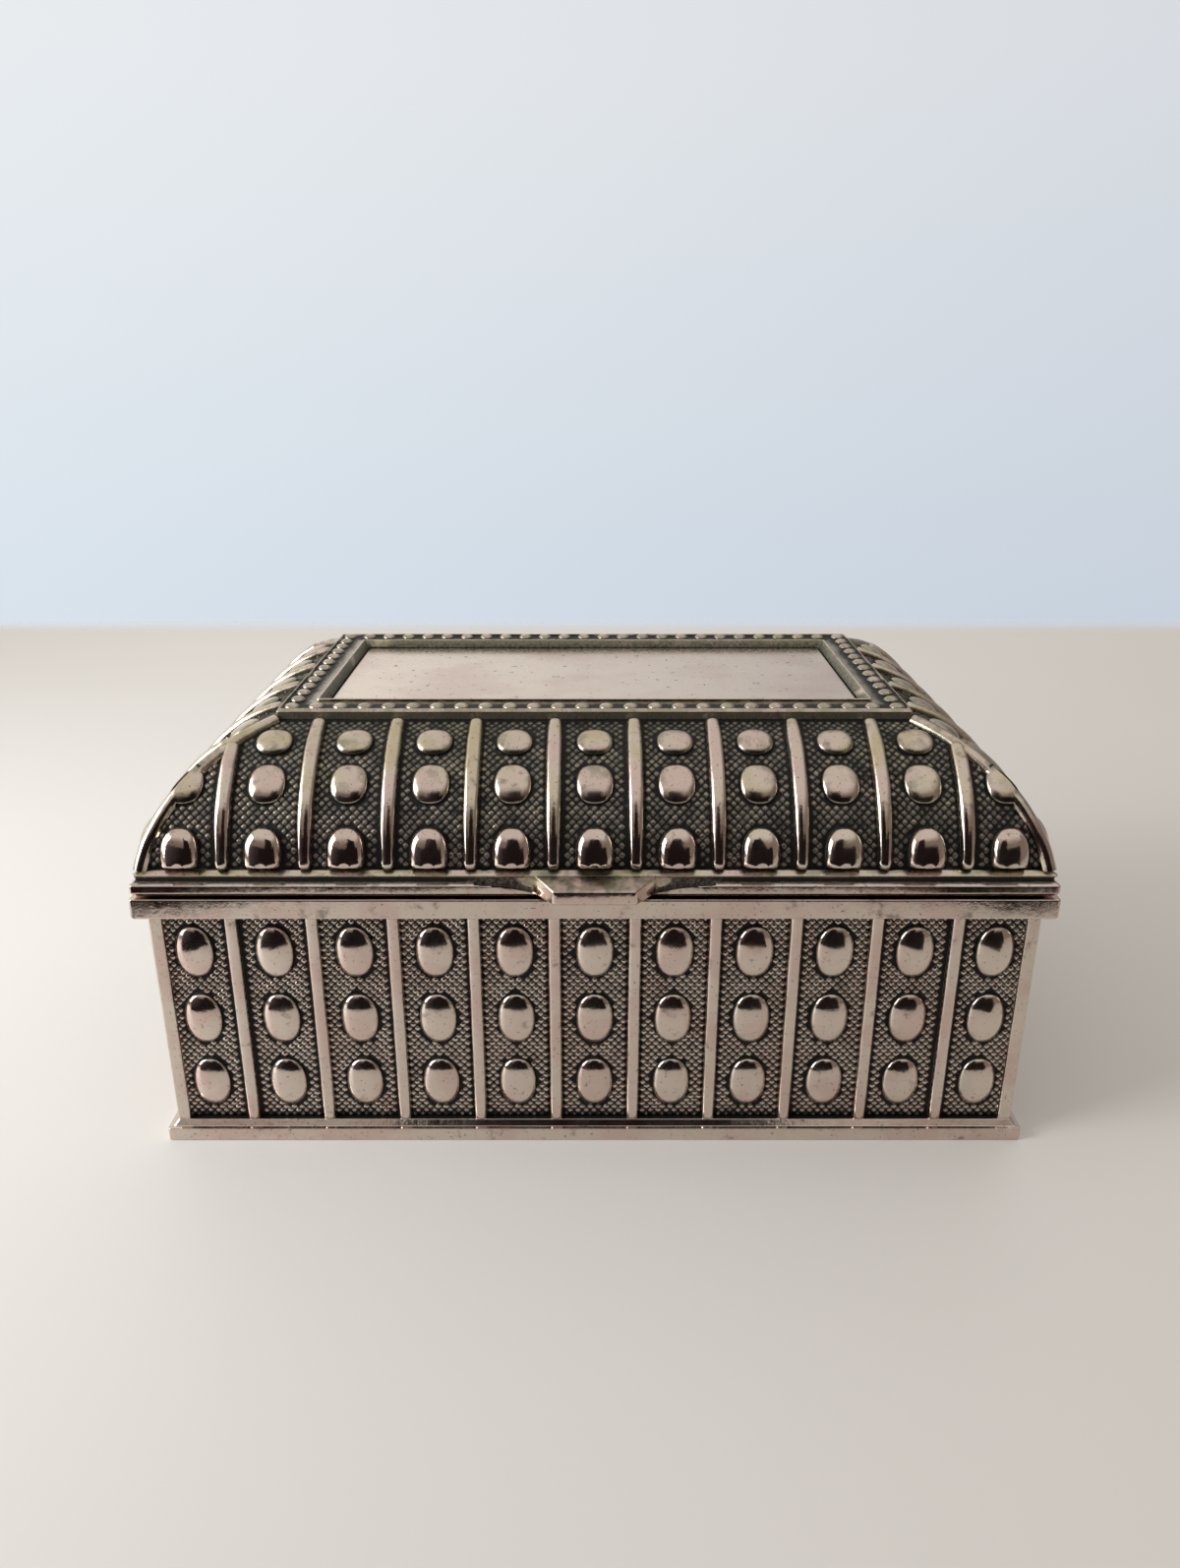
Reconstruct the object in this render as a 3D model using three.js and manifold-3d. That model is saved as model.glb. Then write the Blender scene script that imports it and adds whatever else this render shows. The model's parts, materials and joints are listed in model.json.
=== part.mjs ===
// A plated trinket box: a cast tray and a hinged, mitred lid, both ribbed and bossed, with a velvet lining.
// Millimetres, +Z up, front towards -Y. The origin lies on the table, under the middle of the foot.

import * as THREE from 'three';
import { mergeVertices } from 'three/addons/utils/BufferGeometryUtils.js';
import Module from 'manifold-3d';

const wasm = await Module();
wasm.setup();

// Body over its corner posts, and the panels between the ribs
const BODY_WIDTH = 114.4;
const BODY_DEPTH = 72.8;
const FRONT_PANELS = 11;
const SIDE_PANELS = 7;

// Tray casting, from the table up
const FOOT_BAND = 1.9;
const FOOT_LEDGE = 0.55;
const FOOT_BEVEL = 0.75;
const FOOT_OUT = 1.2;
const WALL_HEIGHT = 31.45;
const RIM_HEIGHT = 2.8;
const RIM_OUT = 1.5;
const GROUND_INSET = 0.8;
const WALL_THICKNESS = 2.2;
const FLOOR_THICKNESS = 2.2;
const FOOT_RING_WIDTH = 3.6;
const BAIZE_THICKNESS = 0.8;

// Tray ornament
const BOSS_SIDES = 8;
const BOSS_CROWN = 0.66;
const POST_WIDTH = 1.7;
const RIB_WIDTH = 2.05;
const RIB_TOP_WIDTH = 1.75;
const TRAY_BOSS_WIDTH = 5.05;
const TRAY_BOSS_HEIGHT = 7.6;
const TRAY_BOSS_PROUD = 1.2;
const TRAY_BOSS_ROWS = 3;
const TRAY_ROW_PITCH = 10.0;

// Lid casting, from the parting line up
const LID_GAP = 0.3;
const BAND_HEIGHT = 1.45;
const BAND_OUT = 1.1;
const BAND_LEAN = 0.28;
const GROOVE_HEIGHT = 1.05;
const GROOVE_DEPTH = 0.5;
const BEVEL_HEIGHT = 0.7;
const SLOPE_RUN = 14.8;
const SLOPE_RISE = 14.95;
const SLOPE_SAG = 2.97;
const SLOPE_STEPS = 6;
const SHELL_THICKNESS = 1.8;
const PANEL_LEDGE = 1.0;

// Lid ornament
const LID_RIB_WIDTH = 2.1;
const LID_RIB_PROUD = 0.95;
const HIP_RIB_WIDTH = 1.8;
const HIP_RIB_PROUD = 0.8;
const MITRE_SETBACK = 0.3;
const LID_BOSS_WIDTH = 4.9;
const LID_BOSS_PROUD = 1.2;
const LOW_ROW_PROUD = 1.7;
const LOW_ROW_HEIGHT = 4.95;
const MIDDLE_ROW_HEIGHT = 5.6;
const HIGH_ROW_HEIGHT = 4.5;
const LOW_ROW_MARGIN = 0.35;
const HIGH_ROW_MARGIN = 2.5;
const HIGH_ROW_GAP = 1.4;

// Bead frame round the plate on top
const FRAME_HEIGHT = 1.55;
const FRAME_EDGE_WIDTH = 0.4;
const BEAD_FLOOR_DEPTH = 0.3;
const BEAD_FLOOR_WIDTH = 3.9;
const LIP_WIDTH = 1.1;
const LIP_CREST_WIDTH = 0.3;
const LIP_PROUD = 0.4;
const BEAD_SIDES = 6;
const BEAD_PITCH = 3.25;
const BEAD_INSET = 1.4;
const BEAD_LENGTH = 2.05;
const BEAD_BREADTH = 1.95;
const BEAD_PROUD = 0.6;
const PLATE_THICKNESS = 0.8;
const PLATE_DEPTH = 1.2;

// Thumb tab in the middle of the lid's front band, with a scoop on each side
const TAB_ROOT_WIDTH = 14.4;
const TAB_FRONT_WIDTH = 10.2;
const TAB_REACH = 2.9;
const TAB_THICKNESS = 1.6;
const TAB_SLOPE = 0.6;
const TAB_LIFT = 0.4;
const SCOOP_LENGTH = 8.0;
const SCOOP_BEND = 3.0;
const SCOOP_STEPS = 4;
const SCOOP_RISE = 0.3;

// Hinge at the back: cast knuckles, odd ones on the tray and even ones on the lid, on one pin
const KNUCKLE_COUNT = 5;
const KNUCKLE_LENGTH = 9.8;
const KNUCKLE_GAP = 0.3;
const KNUCKLE_RADIUS = 1.9;
const KNUCKLE_STANDOFF = 0.45;
const PIN_RADIUS = 0.9;
const PIN_CLEARANCE = 0.2;
const PIN_END = 0.3;
const ROUND_SIDES = 16;

// Lining
const CARD_THICKNESS = 1.0;
const VELVET_THICKNESS = 0.8;
const FLOOR_WADDING = 2.5;
const LID_WADDING = 1.4;
const PAD_CROWN = 0.8;
const PAD_CROWN_RUN = 12.0;
const PAD_EDGE_ROUND = 1.0;
const LINING_DROP = 1.0;

// Clearances
const FIT = 0.3;
const GLUE_LINE = 0.1;
const EMBED = 0.35;

const FINISHES = {
  silver: { color: 0xb8aaa3, roughness: 0.28, metalness: 1.0 },
  plate: { color: 0xbfb1b3, roughness: 0.16, metalness: 1.0 },
  steel: { color: 0x9a9a98, roughness: 0.35, metalness: 1.0 },
  velvet: { color: 0x6a1424, roughness: 0.95, metalness: 0.0 },
  card: { color: 0x9c8a6c, roughness: 0.9, metalness: 0.0 },
  wadding: { color: 0xe4dfd2, roughness: 1.0, metalness: 0.0 },
  baize: { color: 0x2c3f33, roughness: 1.0, metalness: 0.0 },
};

// Levels that several pieces share
const FOOT_TOP = FOOT_BAND + FOOT_BEVEL;
const WALL_TOP = FOOT_TOP + WALL_HEIGHT;
const RIM_TOP = WALL_TOP + RIM_HEIGHT;
const LID_BOTTOM = RIM_TOP + LID_GAP;
const BAND_TOP = LID_BOTTOM + BAND_HEIGHT;
const BEVEL_BOTTOM = BAND_TOP + GROOVE_HEIGHT;
const SLOPE_FOOT = BEVEL_BOTTOM + BEVEL_HEIGHT;
const FRAME_BOTTOM = SLOPE_FOOT + SLOPE_RISE;
const FRAME_TOP = FRAME_BOTTOM + FRAME_HEIGHT;
const LIP_TOP = FRAME_TOP - BEAD_FLOOR_DEPTH + LIP_PROUD;
const PLATE_TOP = LIP_TOP - PLATE_DEPTH;
const PLATE_SEAT = PLATE_TOP - PLATE_THICKNESS - GLUE_LINE;
const CEILING = PLATE_SEAT - SHELL_THICKNESS;
const BAIZE_RECESS = BAIZE_THICKNESS + GLUE_LINE;
const FLOOR_TOP = BAIZE_RECESS + FLOOR_THICKNESS;
const HINGE_Z = RIM_TOP + LID_GAP / 2;
const HINGE_Y = BODY_DEPTH / 2 + RIM_OUT + KNUCKLE_STANDOFF + KNUCKLE_RADIUS;

// Offsets in plan, outwards from the body's posts
const CAVITY_OFFSET = -GROUND_INSET - WALL_THICKNESS;
const FRAME_OFFSET = -SLOPE_RUN;
const BEAD_OFFSET = FRAME_OFFSET - FRAME_EDGE_WIDTH;
const LIP_OFFSET = BEAD_OFFSET - BEAD_FLOOR_WIDTH;
const PLATE_OFFSET = LIP_OFFSET - LIP_WIDTH;
const LINER_BUILD = GLUE_LINE + CARD_THICKNESS + GLUE_LINE + VELVET_THICKNESS;

// The slope's circular arc, with angles measured up from the horizontal at its centre
const CHORD = Math.hypot(SLOPE_RUN, SLOPE_RISE);
const ARC_RADIUS = CHORD ** 2 / (8 * SLOPE_SAG) + SLOPE_SAG / 2;
const ARC_HALF = Math.asin(CHORD / 2 / ARC_RADIUS);
const CHORD_ANGLE = Math.atan2(SLOPE_RISE, SLOPE_RUN);
const ARC_START = Math.PI / 2 - CHORD_ANGLE - ARC_HALF;
const ARC_END = Math.PI / 2 - CHORD_ANGLE + ARC_HALF;
const ARC_LENGTH = ARC_RADIUS * (ARC_END - ARC_START);
const ARC_INSET = ARC_RADIUS * Math.cos(ARC_START);
const ARC_Z = SLOPE_FOOT - ARC_RADIUS * Math.sin(ARC_START);

// The four sides, each drawn as a front and then turned about Z
const SIDES = [
  { name: 'front', panels: FRONT_PANELS, length: BODY_WIDTH, distance: BODY_DEPTH / 2, turn: 0 },
  { name: 'right', panels: SIDE_PANELS, length: BODY_DEPTH, distance: BODY_WIDTH / 2, turn: Math.PI / 2 },
  { name: 'back', panels: FRONT_PANELS, length: BODY_WIDTH, distance: BODY_DEPTH / 2, turn: Math.PI },
  { name: 'left', panels: SIDE_PANELS, length: BODY_DEPTH, distance: BODY_WIDTH / 2, turn: -Math.PI / 2 },
];

// A closed solid through stacked rings of points, with its faces pointing out.
function stack(rings) {
  const count = rings[0].length;
  const positions = rings.flat().flatMap((point) => [point.x, point.y, point.z]);
  const index = [];
  for (let level = 0; level + 1 < rings.length; level += 1) {
    for (let i = 0; i < count; i += 1) {
      const a = level * count + i;
      const b = level * count + ((i + 1) % count);
      index.push(a, b, b + count, a, b + count, a + count);
    }
  }
  const last = (rings.length - 1) * count;
  for (let i = 1; i + 1 < count; i += 1) {
    index.push(0, i + 1, i, last, last + i, last + i + 1);
  }
  const geometry = new THREE.BufferGeometry();
  geometry.setAttribute('position', new THREE.Float32BufferAttribute(positions, 3));
  geometry.setIndex(index);
  if (volume(geometry) < 0) geometry.setIndex(index.reverse());
  return geometry;
}

// Six times the volume inside a geometry's faces, negative where they point in.
function volume(geometry) {
  const index = geometry.getIndex();
  const position = geometry.getAttribute('position');
  const corner = [new THREE.Vector3(), new THREE.Vector3(), new THREE.Vector3()];
  let total = 0;
  for (let i = 0; i < index.count; i += 3) {
    corner.forEach((point, k) => point.fromBufferAttribute(position, index.getX(i + k)));
    total += corner[0].dot(corner[1].clone().cross(corner[2]));
  }
  return total;
}

// Mitred rectangles stacked into a solid: each level is [offset from the posts, z].
function loft(levels) {
  return stack(levels.map(([offset, z]) => rectangle(BODY_WIDTH / 2 + offset, BODY_DEPTH / 2 + offset, z)));
}

function rectangle(x, y, z) {
  const corners = [[-x, -y], [x, -y], [x, y], [-x, y]];
  return corners.map(([cx, cy]) => new THREE.Vector3(cx, cy, z));
}

function block(low, high) {
  const size = new THREE.Vector3(...high).sub(new THREE.Vector3(...low));
  const middle = new THREE.Vector3(...high).add(new THREE.Vector3(...low)).multiplyScalar(0.5);
  return new THREE.BoxGeometry(size.x, size.y, size.z).translate(middle.x, middle.y, middle.z);
}

// A round bar along X.
function bar(radius, from, to, y, z) {
  const geometry = new THREE.CylinderGeometry(radius, radius, to - from, ROUND_SIDES);
  return geometry.rotateZ(Math.PI / 2).translate((from + to) / 2, y, z);
}

function solid(geometry) {
  const bare = geometry.clone();
  bare.deleteAttribute('normal');
  bare.deleteAttribute('uv');
  const merged = mergeVertices(bare);
  const vertProperties = new Float32Array(merged.getAttribute('position').array);
  const triVerts = new Uint32Array(merged.getIndex().array);
  return new wasm.Manifold(new wasm.Mesh({ numProp: 3, vertProperties, triVerts }));
}

function joined(geometries) {
  return wasm.Manifold.union(geometries.map(solid));
}

function shape(manifold) {
  const mesh = manifold.getMesh();
  const geometry = new THREE.BufferGeometry();
  geometry.setAttribute('position', new THREE.Float32BufferAttribute(mesh.vertProperties, 3));
  geometry.setIndex(Array.from(mesh.triVerts));
  return geometry;
}

function piece(name, geometry, finish) {
  geometry.computeVertexNormals();
  const mesh = new THREE.Mesh(geometry, new THREE.MeshStandardMaterial(FINISHES[finish]));
  mesh.name = name;
  return mesh;
}

// A point on a tray wall's ground: along the side, up, and out from the ground.
function wallPoint(side, along, up, out) {
  return new THREE.Vector3(along, -side.distance + GROUND_INSET - out, up);
}

// A point on a lid slope: along the side, up its arc from the foot, and out from the slope.
function slopePoint(side, along, arc, out) {
  const angle = ARC_START + arc / ARC_RADIUS;
  const radius = ARC_RADIUS + out;
  const inset = ARC_INSET - radius * Math.cos(angle);
  return new THREE.Vector3(along, -side.distance + inset, ARC_Z + radius * Math.sin(angle));
}

// Arc length from the slope's foot to where it has gone in by an inset.
function arcAtInset(inset) {
  return ARC_RADIUS * (Math.acos((ARC_INSET - inset) / ARC_RADIUS) - ARC_START);
}

// A low oval dome with a flat crown, standing on a surface.
function boss(place, along, up, width, height, proud, sides) {
  const flank = (1 - BOSS_CROWN) / proud;
  const levels = [[1 + flank * EMBED, -EMBED], [BOSS_CROWN, proud]];
  const rings = levels.map(([scale, out]) => Array.from({ length: sides }, (_, i) => {
    const angle = ((i + 0.5) / sides) * 2 * Math.PI;
    const x = (width / 2) * scale * Math.cos(angle);
    const y = (height / 2) * scale * Math.sin(angle);
    return place(along + x, up + y, out);
  }));
  return stack(rings);
}

// A flat-topped rib that runs straight up a tray wall.
function wallRib(side, along, width, topWidth) {
  const levels = [[width, -EMBED], [topWidth, GROUND_INSET]];
  const rings = levels.map(([wide, out]) => [
    wallPoint(side, along - wide / 2, FOOT_TOP - EMBED, out),
    wallPoint(side, along + wide / 2, FOOT_TOP - EMBED, out),
    wallPoint(side, along + wide / 2, WALL_TOP + EMBED, out),
    wallPoint(side, along - wide / 2, WALL_TOP + EMBED, out),
  ]);
  return stack(rings);
}

// The rounded section of a lid rib: across it and out from the slope.
function ribSection(width, proud) {
  return [[-width / 2, -EMBED], [width / 2, -EMBED], [width / 4, proud], [-width / 4, proud]];
}

// A rib up a lid slope, from the foot to an arc length where a hip or the frame takes over.
function slopeRib(side, along, arcEnd) {
  const rings = Array.from({ length: SLOPE_STEPS + 1 }, (_, i) => ribSection(LID_RIB_WIDTH, LID_RIB_PROUD)
    .map(([across, out]) => slopePoint(side, along + across, (arcEnd * i) / SLOPE_STEPS, out)));
  return stack(rings);
}

// A rib up the mitre where two slopes meet.
function hipRib(signX, signY) {
  const across = new THREE.Vector3(signX, -signY, 0).normalize();
  const rings = Array.from({ length: SLOPE_STEPS + 1 }, (_, i) => {
    const angle = ARC_START + ((ARC_END - ARC_START) * i) / SLOPE_STEPS;
    const inset = ARC_INSET - ARC_RADIUS * Math.cos(angle);
    const z = ARC_Z + ARC_RADIUS * Math.sin(angle);
    const middle = new THREE.Vector3(signX * (BODY_WIDTH / 2 - inset), signY * (BODY_DEPTH / 2 - inset), z);
    const rise = Math.sin(angle);
    const level = Math.cos(angle) / 2;
    const outwards = new THREE.Vector3(signX * level, signY * level, rise).normalize();
    return ribSection(HIP_RIB_WIDTH, HIP_RIB_PROUD).map(([x, out]) => middle.clone()
      .addScaledVector(across, x)
      .addScaledVector(outwards, out));
  });
  return stack(rings);
}

// The part of the lid that one slope owns, stopping just short of its two mitres, under the hip ribs.
function mitreWedge(side) {
  const reach = Math.max(BODY_WIDTH, BODY_DEPTH) / 2 - SLOPE_RUN;
  const rings = [LID_BOTTOM, LIP_TOP].map((z) => {
    const outer = side.length / 2 + reach - MITRE_SETBACK;
    const inner = side.length / 2 - SLOPE_RUN - MITRE_SETBACK;
    const front = -side.distance - reach;
    const back = -side.distance + SLOPE_RUN;
    return [
      new THREE.Vector3(-outer, front, z),
      new THREE.Vector3(outer, front, z),
      new THREE.Vector3(inner, back, z),
      new THREE.Vector3(-inner, back, z),
    ];
  });
  return stack(rings);
}

function panelPitch(side) {
  return side.length / side.panels;
}

// Middles of a side's panels, leaving out some at each end.
function panelCentres(side, skipped) {
  const kept = side.panels - 2 * skipped;
  return Array.from({ length: kept }, (_, i) => (i - (kept - 1) / 2) * panelPitch(side));
}

function ribPlaces(side) {
  return Array.from({ length: side.panels - 1 }, (_, i) => (i + 1 - side.panels / 2) * panelPitch(side));
}

function knuckleSpan(i) {
  const step = KNUCKLE_LENGTH + KNUCKLE_GAP;
  const middle = (i - (KNUCKLE_COUNT - 1) / 2) * step;
  return [middle - KNUCKLE_LENGTH / 2, middle + KNUCKLE_LENGTH / 2];
}

// Knuckles with their webs: odd ones hang from the tray's rim, even ones from the lid's band, with a stop heel.
function knuckles(onLid) {
  const parts = [];
  for (let i = onLid ? 1 : 0; i < KNUCKLE_COUNT; i += 2) {
    const [from, to] = knuckleSpan(i);
    const root = BODY_DEPTH / 2 + (onLid ? BAND_OUT : RIM_OUT) - EMBED;
    const low = onLid ? LID_BOTTOM : HINGE_Z - KNUCKLE_RADIUS;
    const high = onLid ? HINGE_Z + KNUCKLE_RADIUS : RIM_TOP;
    parts.push(bar(KNUCKLE_RADIUS, from, to, HINGE_Y, HINGE_Z));
    parts.push(block([from, root, low], [to, HINGE_Y, high]));
    if (onLid) {
      parts.push(block([from, HINGE_Y, HINGE_Z - KNUCKLE_RADIUS], [to, HINGE_Y + KNUCKLE_RADIUS, HINGE_Z]));
    }
  }
  return parts;
}

function pinBore() {
  const end = knuckleSpan(KNUCKLE_COUNT - 1)[1] + FIT;
  return solid(bar(PIN_RADIUS + PIN_CLEARANCE, -end, end, HINGE_Y, HINGE_Z));
}

function baseCasting() {
  const body = solid(loft([
    [FOOT_OUT, 0], [FOOT_OUT, FOOT_BAND], [FOOT_OUT - FOOT_LEDGE, FOOT_BAND],
    [0, FOOT_TOP], [-GROUND_INSET, FOOT_TOP],
    [-GROUND_INSET, WALL_TOP], [RIM_OUT, WALL_TOP], [RIM_OUT, RIM_TOP],
  ]));
  const ornament = [];
  for (const side of SIDES) {
    const place = (along, up, out) => wallPoint(side, along, up, out);
    const turned = (geometry) => ornament.push(geometry.rotateZ(side.turn));
    ribPlaces(side).forEach((along) => turned(wallRib(side, along, RIB_WIDTH, RIB_TOP_WIDTH)));
    for (const along of panelCentres(side, 0)) {
      for (let row = 0; row < TRAY_BOSS_ROWS; row += 1) {
        const up = FOOT_TOP + WALL_HEIGHT / 2 + (row - (TRAY_BOSS_ROWS - 1) / 2) * TRAY_ROW_PITCH;
        turned(boss(place, along, up, TRAY_BOSS_WIDTH, TRAY_BOSS_HEIGHT, TRAY_BOSS_PROUD, BOSS_SIDES));
      }
    }
  }
  for (const signX of [-1, 1]) {
    for (const signY of [-1, 1]) {
      const outer = [signX * BODY_WIDTH / 2, signY * BODY_DEPTH / 2];
      const inner = [outer[0] - signX * POST_WIDTH, outer[1] - signY * POST_WIDTH];
      const low = [Math.min(outer[0], inner[0]), Math.min(outer[1], inner[1]), FOOT_TOP - EMBED];
      const high = [Math.max(outer[0], inner[0]), Math.max(outer[1], inner[1]), WALL_TOP + EMBED];
      ornament.push(block(low, high));
    }
  }
  const cavity = solid(loft([[CAVITY_OFFSET, FLOOR_TOP], [CAVITY_OFFSET, RIM_TOP + FIT]]));
  const recess = solid(loft([[FOOT_OUT - FOOT_RING_WIDTH, -FIT], [FOOT_OUT - FOOT_RING_WIDTH, BAIZE_RECESS]]));
  return body.add(joined([...ornament, ...knuckles(false)]))
    .subtract(cavity)
    .subtract(recess)
    .subtract(pinBore());
}

// Loft levels along an arc about the slope's centre.
function arcLevels(radius, from, to) {
  return Array.from({ length: SLOPE_STEPS + 1 }, (_, i) => {
    const angle = from + ((to - from) * i) / SLOPE_STEPS;
    return [radius * Math.cos(angle) - ARC_INSET, ARC_Z + radius * Math.sin(angle)];
  });
}

// The lid's hollow: a rebate for the padded panel, a ledge above it, and an arc inside the slope's.
function lidHollow() {
  const radius = ARC_RADIUS - SHELL_THICKNESS;
  const wall = CAVITY_OFFSET - PANEL_LEDGE;
  const spring = Math.acos((ARC_INSET + wall) / radius);
  const crown = Math.asin(Math.min(Math.sin(ARC_END), (CEILING - ARC_Z) / radius));
  return solid(loft([
    [CAVITY_OFFSET, LID_BOTTOM - FIT], [CAVITY_OFFSET, panelSeat()], [wall, panelSeat()],
    ...arcLevels(radius, spring, crown),
  ]));
}

function padHeight(wadding) {
  return CARD_THICKNESS + wadding + VELVET_THICKNESS + 2 * GLUE_LINE + PAD_CROWN;
}

function panelSeat() {
  return LID_BOTTOM + padHeight(LID_WADDING) + FIT;
}

// Beads stand on the frame's floor at about one pitch, with one on each corner.
function beads() {
  const offset = BEAD_OFFSET - BEAD_INSET;
  const half = [BODY_WIDTH / 2 + offset, BODY_DEPTH / 2 + offset];
  const floor = FRAME_TOP - BEAD_FLOOR_DEPTH;
  const bead = (x, y, sizeX, sizeY) => {
    const place = (along, up, out) => new THREE.Vector3(along, up, floor + out);
    return boss(place, x, y, sizeX, sizeY, BEAD_PROUD, BEAD_SIDES);
  };
  const made = [];
  const stepsX = Math.round((2 * half[0]) / BEAD_PITCH);
  const stepsY = Math.round((2 * half[1]) / BEAD_PITCH);
  for (const sign of [-1, 1]) {
    for (let i = 0; i <= stepsX; i += 1) {
      made.push(bead(half[0] * ((2 * i) / stepsX - 1), sign * half[1], BEAD_LENGTH, BEAD_BREADTH));
    }
    for (let i = 1; i < stepsY; i += 1) {
      made.push(bead(sign * half[0], half[1] * ((2 * i) / stepsY - 1), BEAD_BREADTH, BEAD_LENGTH));
    }
  }
  return made;
}

// The thumb tab: a lip that leaves the bevel and slopes down to a blunt front.
function thumbTab() {
  const bottom = LID_BOTTOM + TAB_LIFT;
  const root = -BODY_DEPTH / 2 - BAND_OUT + GROOVE_DEPTH + EMBED;
  const front = -BODY_DEPTH / 2 - BAND_OUT - TAB_REACH;
  const section = (width, y, high) => [
    new THREE.Vector3(-width / 2, y, bottom),
    new THREE.Vector3(width / 2, y, bottom),
    new THREE.Vector3(width / 2, y, high),
    new THREE.Vector3(-width / 2, y, high),
  ];
  return stack([
    section(TAB_ROOT_WIDTH, root, bottom + TAB_THICKNESS + TAB_SLOPE),
    section(TAB_FRONT_WIDTH, front, bottom + TAB_THICKNESS),
  ]);
}

// The hollow beside the tab, where the groove widens down across the band.
function scoop(sign) {
  const start = (sign * TAB_ROOT_WIDTH) / 2;
  const bend = start + sign * SCOOP_BEND;
  const end = start + sign * SCOOP_LENGTH;
  const top = BAND_TOP + GROOVE_HEIGHT / 2;
  const outline = new THREE.Shape();
  outline.moveTo(start, LID_BOTTOM + SCOOP_RISE);
  outline.quadraticCurveTo(bend, BAND_TOP, end, BAND_TOP);
  outline.lineTo(end, top);
  outline.lineTo(start, top);
  const depth = GROOVE_DEPTH + FIT;
  const cut = new THREE.ExtrudeGeometry(outline, { depth, bevelEnabled: false, curveSegments: SCOOP_STEPS });
  const y = -BODY_DEPTH / 2 - BAND_OUT + GROOVE_DEPTH;
  return solid(cut.rotateX(Math.PI / 2).translate(0, y, 0));
}

function lidOrnament() {
  const high = ARC_LENGTH - HIGH_ROW_MARGIN - HIGH_ROW_HEIGHT / 2;
  const middle = high - HIGH_ROW_HEIGHT / 2 - HIGH_ROW_GAP - MIDDLE_ROW_HEIGHT / 2;
  const rows = [
    { arc: LOW_ROW_MARGIN + LOW_ROW_HEIGHT / 2, height: LOW_ROW_HEIGHT, proud: LOW_ROW_PROUD },
    { arc: middle, height: MIDDLE_ROW_HEIGHT, proud: LID_BOSS_PROUD },
    { arc: high, height: HIGH_ROW_HEIGHT, proud: LID_BOSS_PROUD },
  ];
  return SIDES.map((side) => {
    const place = (along, arc, out) => slopePoint(side, along, arc, out);
    const made = [];
    for (const row of rows) {
      const inset = slopePoint(side, 0, row.arc, 0).y + side.distance;
      for (const along of panelCentres(side, 0)) {
        const reachesSlope = side.length / 2 - Math.abs(along) + LID_BOSS_WIDTH / 2 > inset;
        if (!reachesSlope) continue;
        made.push(boss(place, along, row.arc, LID_BOSS_WIDTH, row.height, row.proud, BOSS_SIDES));
      }
    }
    for (const along of ribPlaces(side)) {
      const toCorner = side.length / 2 - Math.abs(along);
      made.push(slopeRib(side, along, arcAtInset(Math.min(toCorner, SLOPE_RUN))));
    }
    const trimmed = joined(made).intersect(solid(mitreWedge(side)));
    return trimmed.rotate([0, 0, THREE.MathUtils.radToDeg(side.turn)]);
  });
}

function lidCasting() {
  const groove = BAND_OUT - GROOVE_DEPTH;
  const body = solid(loft([
    [BAND_OUT, LID_BOTTOM], [BAND_OUT - BAND_LEAN, BAND_TOP],
    [groove, BAND_TOP + GROOVE_HEIGHT / 3], [groove, BAND_TOP + (GROOVE_HEIGHT * 2) / 3],
    [BAND_OUT, BEVEL_BOTTOM],
    ...arcLevels(ARC_RADIUS, ARC_START, ARC_END),
    [FRAME_OFFSET, FRAME_TOP], [BEAD_OFFSET, FRAME_TOP],
    [BEAD_OFFSET, FRAME_TOP - BEAD_FLOOR_DEPTH], [LIP_OFFSET, FRAME_TOP - BEAD_FLOOR_DEPTH],
    [LIP_OFFSET, LIP_TOP], [LIP_OFFSET - LIP_CREST_WIDTH, LIP_TOP],
    [PLATE_OFFSET, PLATE_TOP + GLUE_LINE], [PLATE_OFFSET, PLATE_SEAT],
  ]));
  const hips = [[-1, -1], [-1, 1], [1, -1], [1, 1]].map(([signX, signY]) => hipRib(signX, signY));
  const plain = body.subtract(scoop(-1)).subtract(scoop(1));
  const dressed = wasm.Manifold.union([
    plain, ...lidOrnament(), joined([...hips, ...beads(), thumbTab(), ...knuckles(true)]),
  ]);
  return dressed.subtract(lidHollow()).subtract(pinBore());
}

function lidPlate() {
  const bottom = PLATE_SEAT + GLUE_LINE;
  return loft([[PLATE_OFFSET - FIT, bottom], [PLATE_OFFSET - FIT, bottom + PLATE_THICKNESS]]);
}

function baize() {
  const offset = FOOT_OUT - FOOT_RING_WIDTH - FIT;
  return loft([[offset, 0], [offset, BAIZE_THICKNESS]]);
}

function hingePin() {
  const end = knuckleSpan(KNUCKLE_COUNT - 1)[1] + PIN_END;
  return bar(PIN_RADIUS, -end, end, HINGE_Y, HINGE_Z);
}

// A pad of card, wadding and a velvet cover that wraps its face and edges. Z = 0 is the back of the card.
function pad(name, offset, wadding) {
  const crowned = (inset, low, drop) => {
    const top = padHeight(wadding) - PAD_CROWN - drop;
    return loft([
      [offset - inset, low], [offset - inset, top - PAD_EDGE_ROUND],
      [offset - inset - PAD_EDGE_ROUND, top], [offset - inset - PAD_CROWN_RUN, top + PAD_CROWN],
    ]);
  };
  const filling = VELVET_THICKNESS + GLUE_LINE;
  const cover = solid(crowned(0, 0, 0)).subtract(solid(crowned(VELVET_THICKNESS, -FIT, VELVET_THICKNESS)));
  const card = loft([[offset - filling, 0], [offset - filling, CARD_THICKNESS]]);
  const group = new THREE.Group();
  group.add(piece(`${name}_card`, card, 'card'));
  group.add(piece(`${name}_wadding`, crowned(filling, CARD_THICKNESS + GLUE_LINE, filling), 'wadding'));
  group.add(piece(`${name}_velvet`, shape(cover), 'velvet'));
  return group;
}

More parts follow.
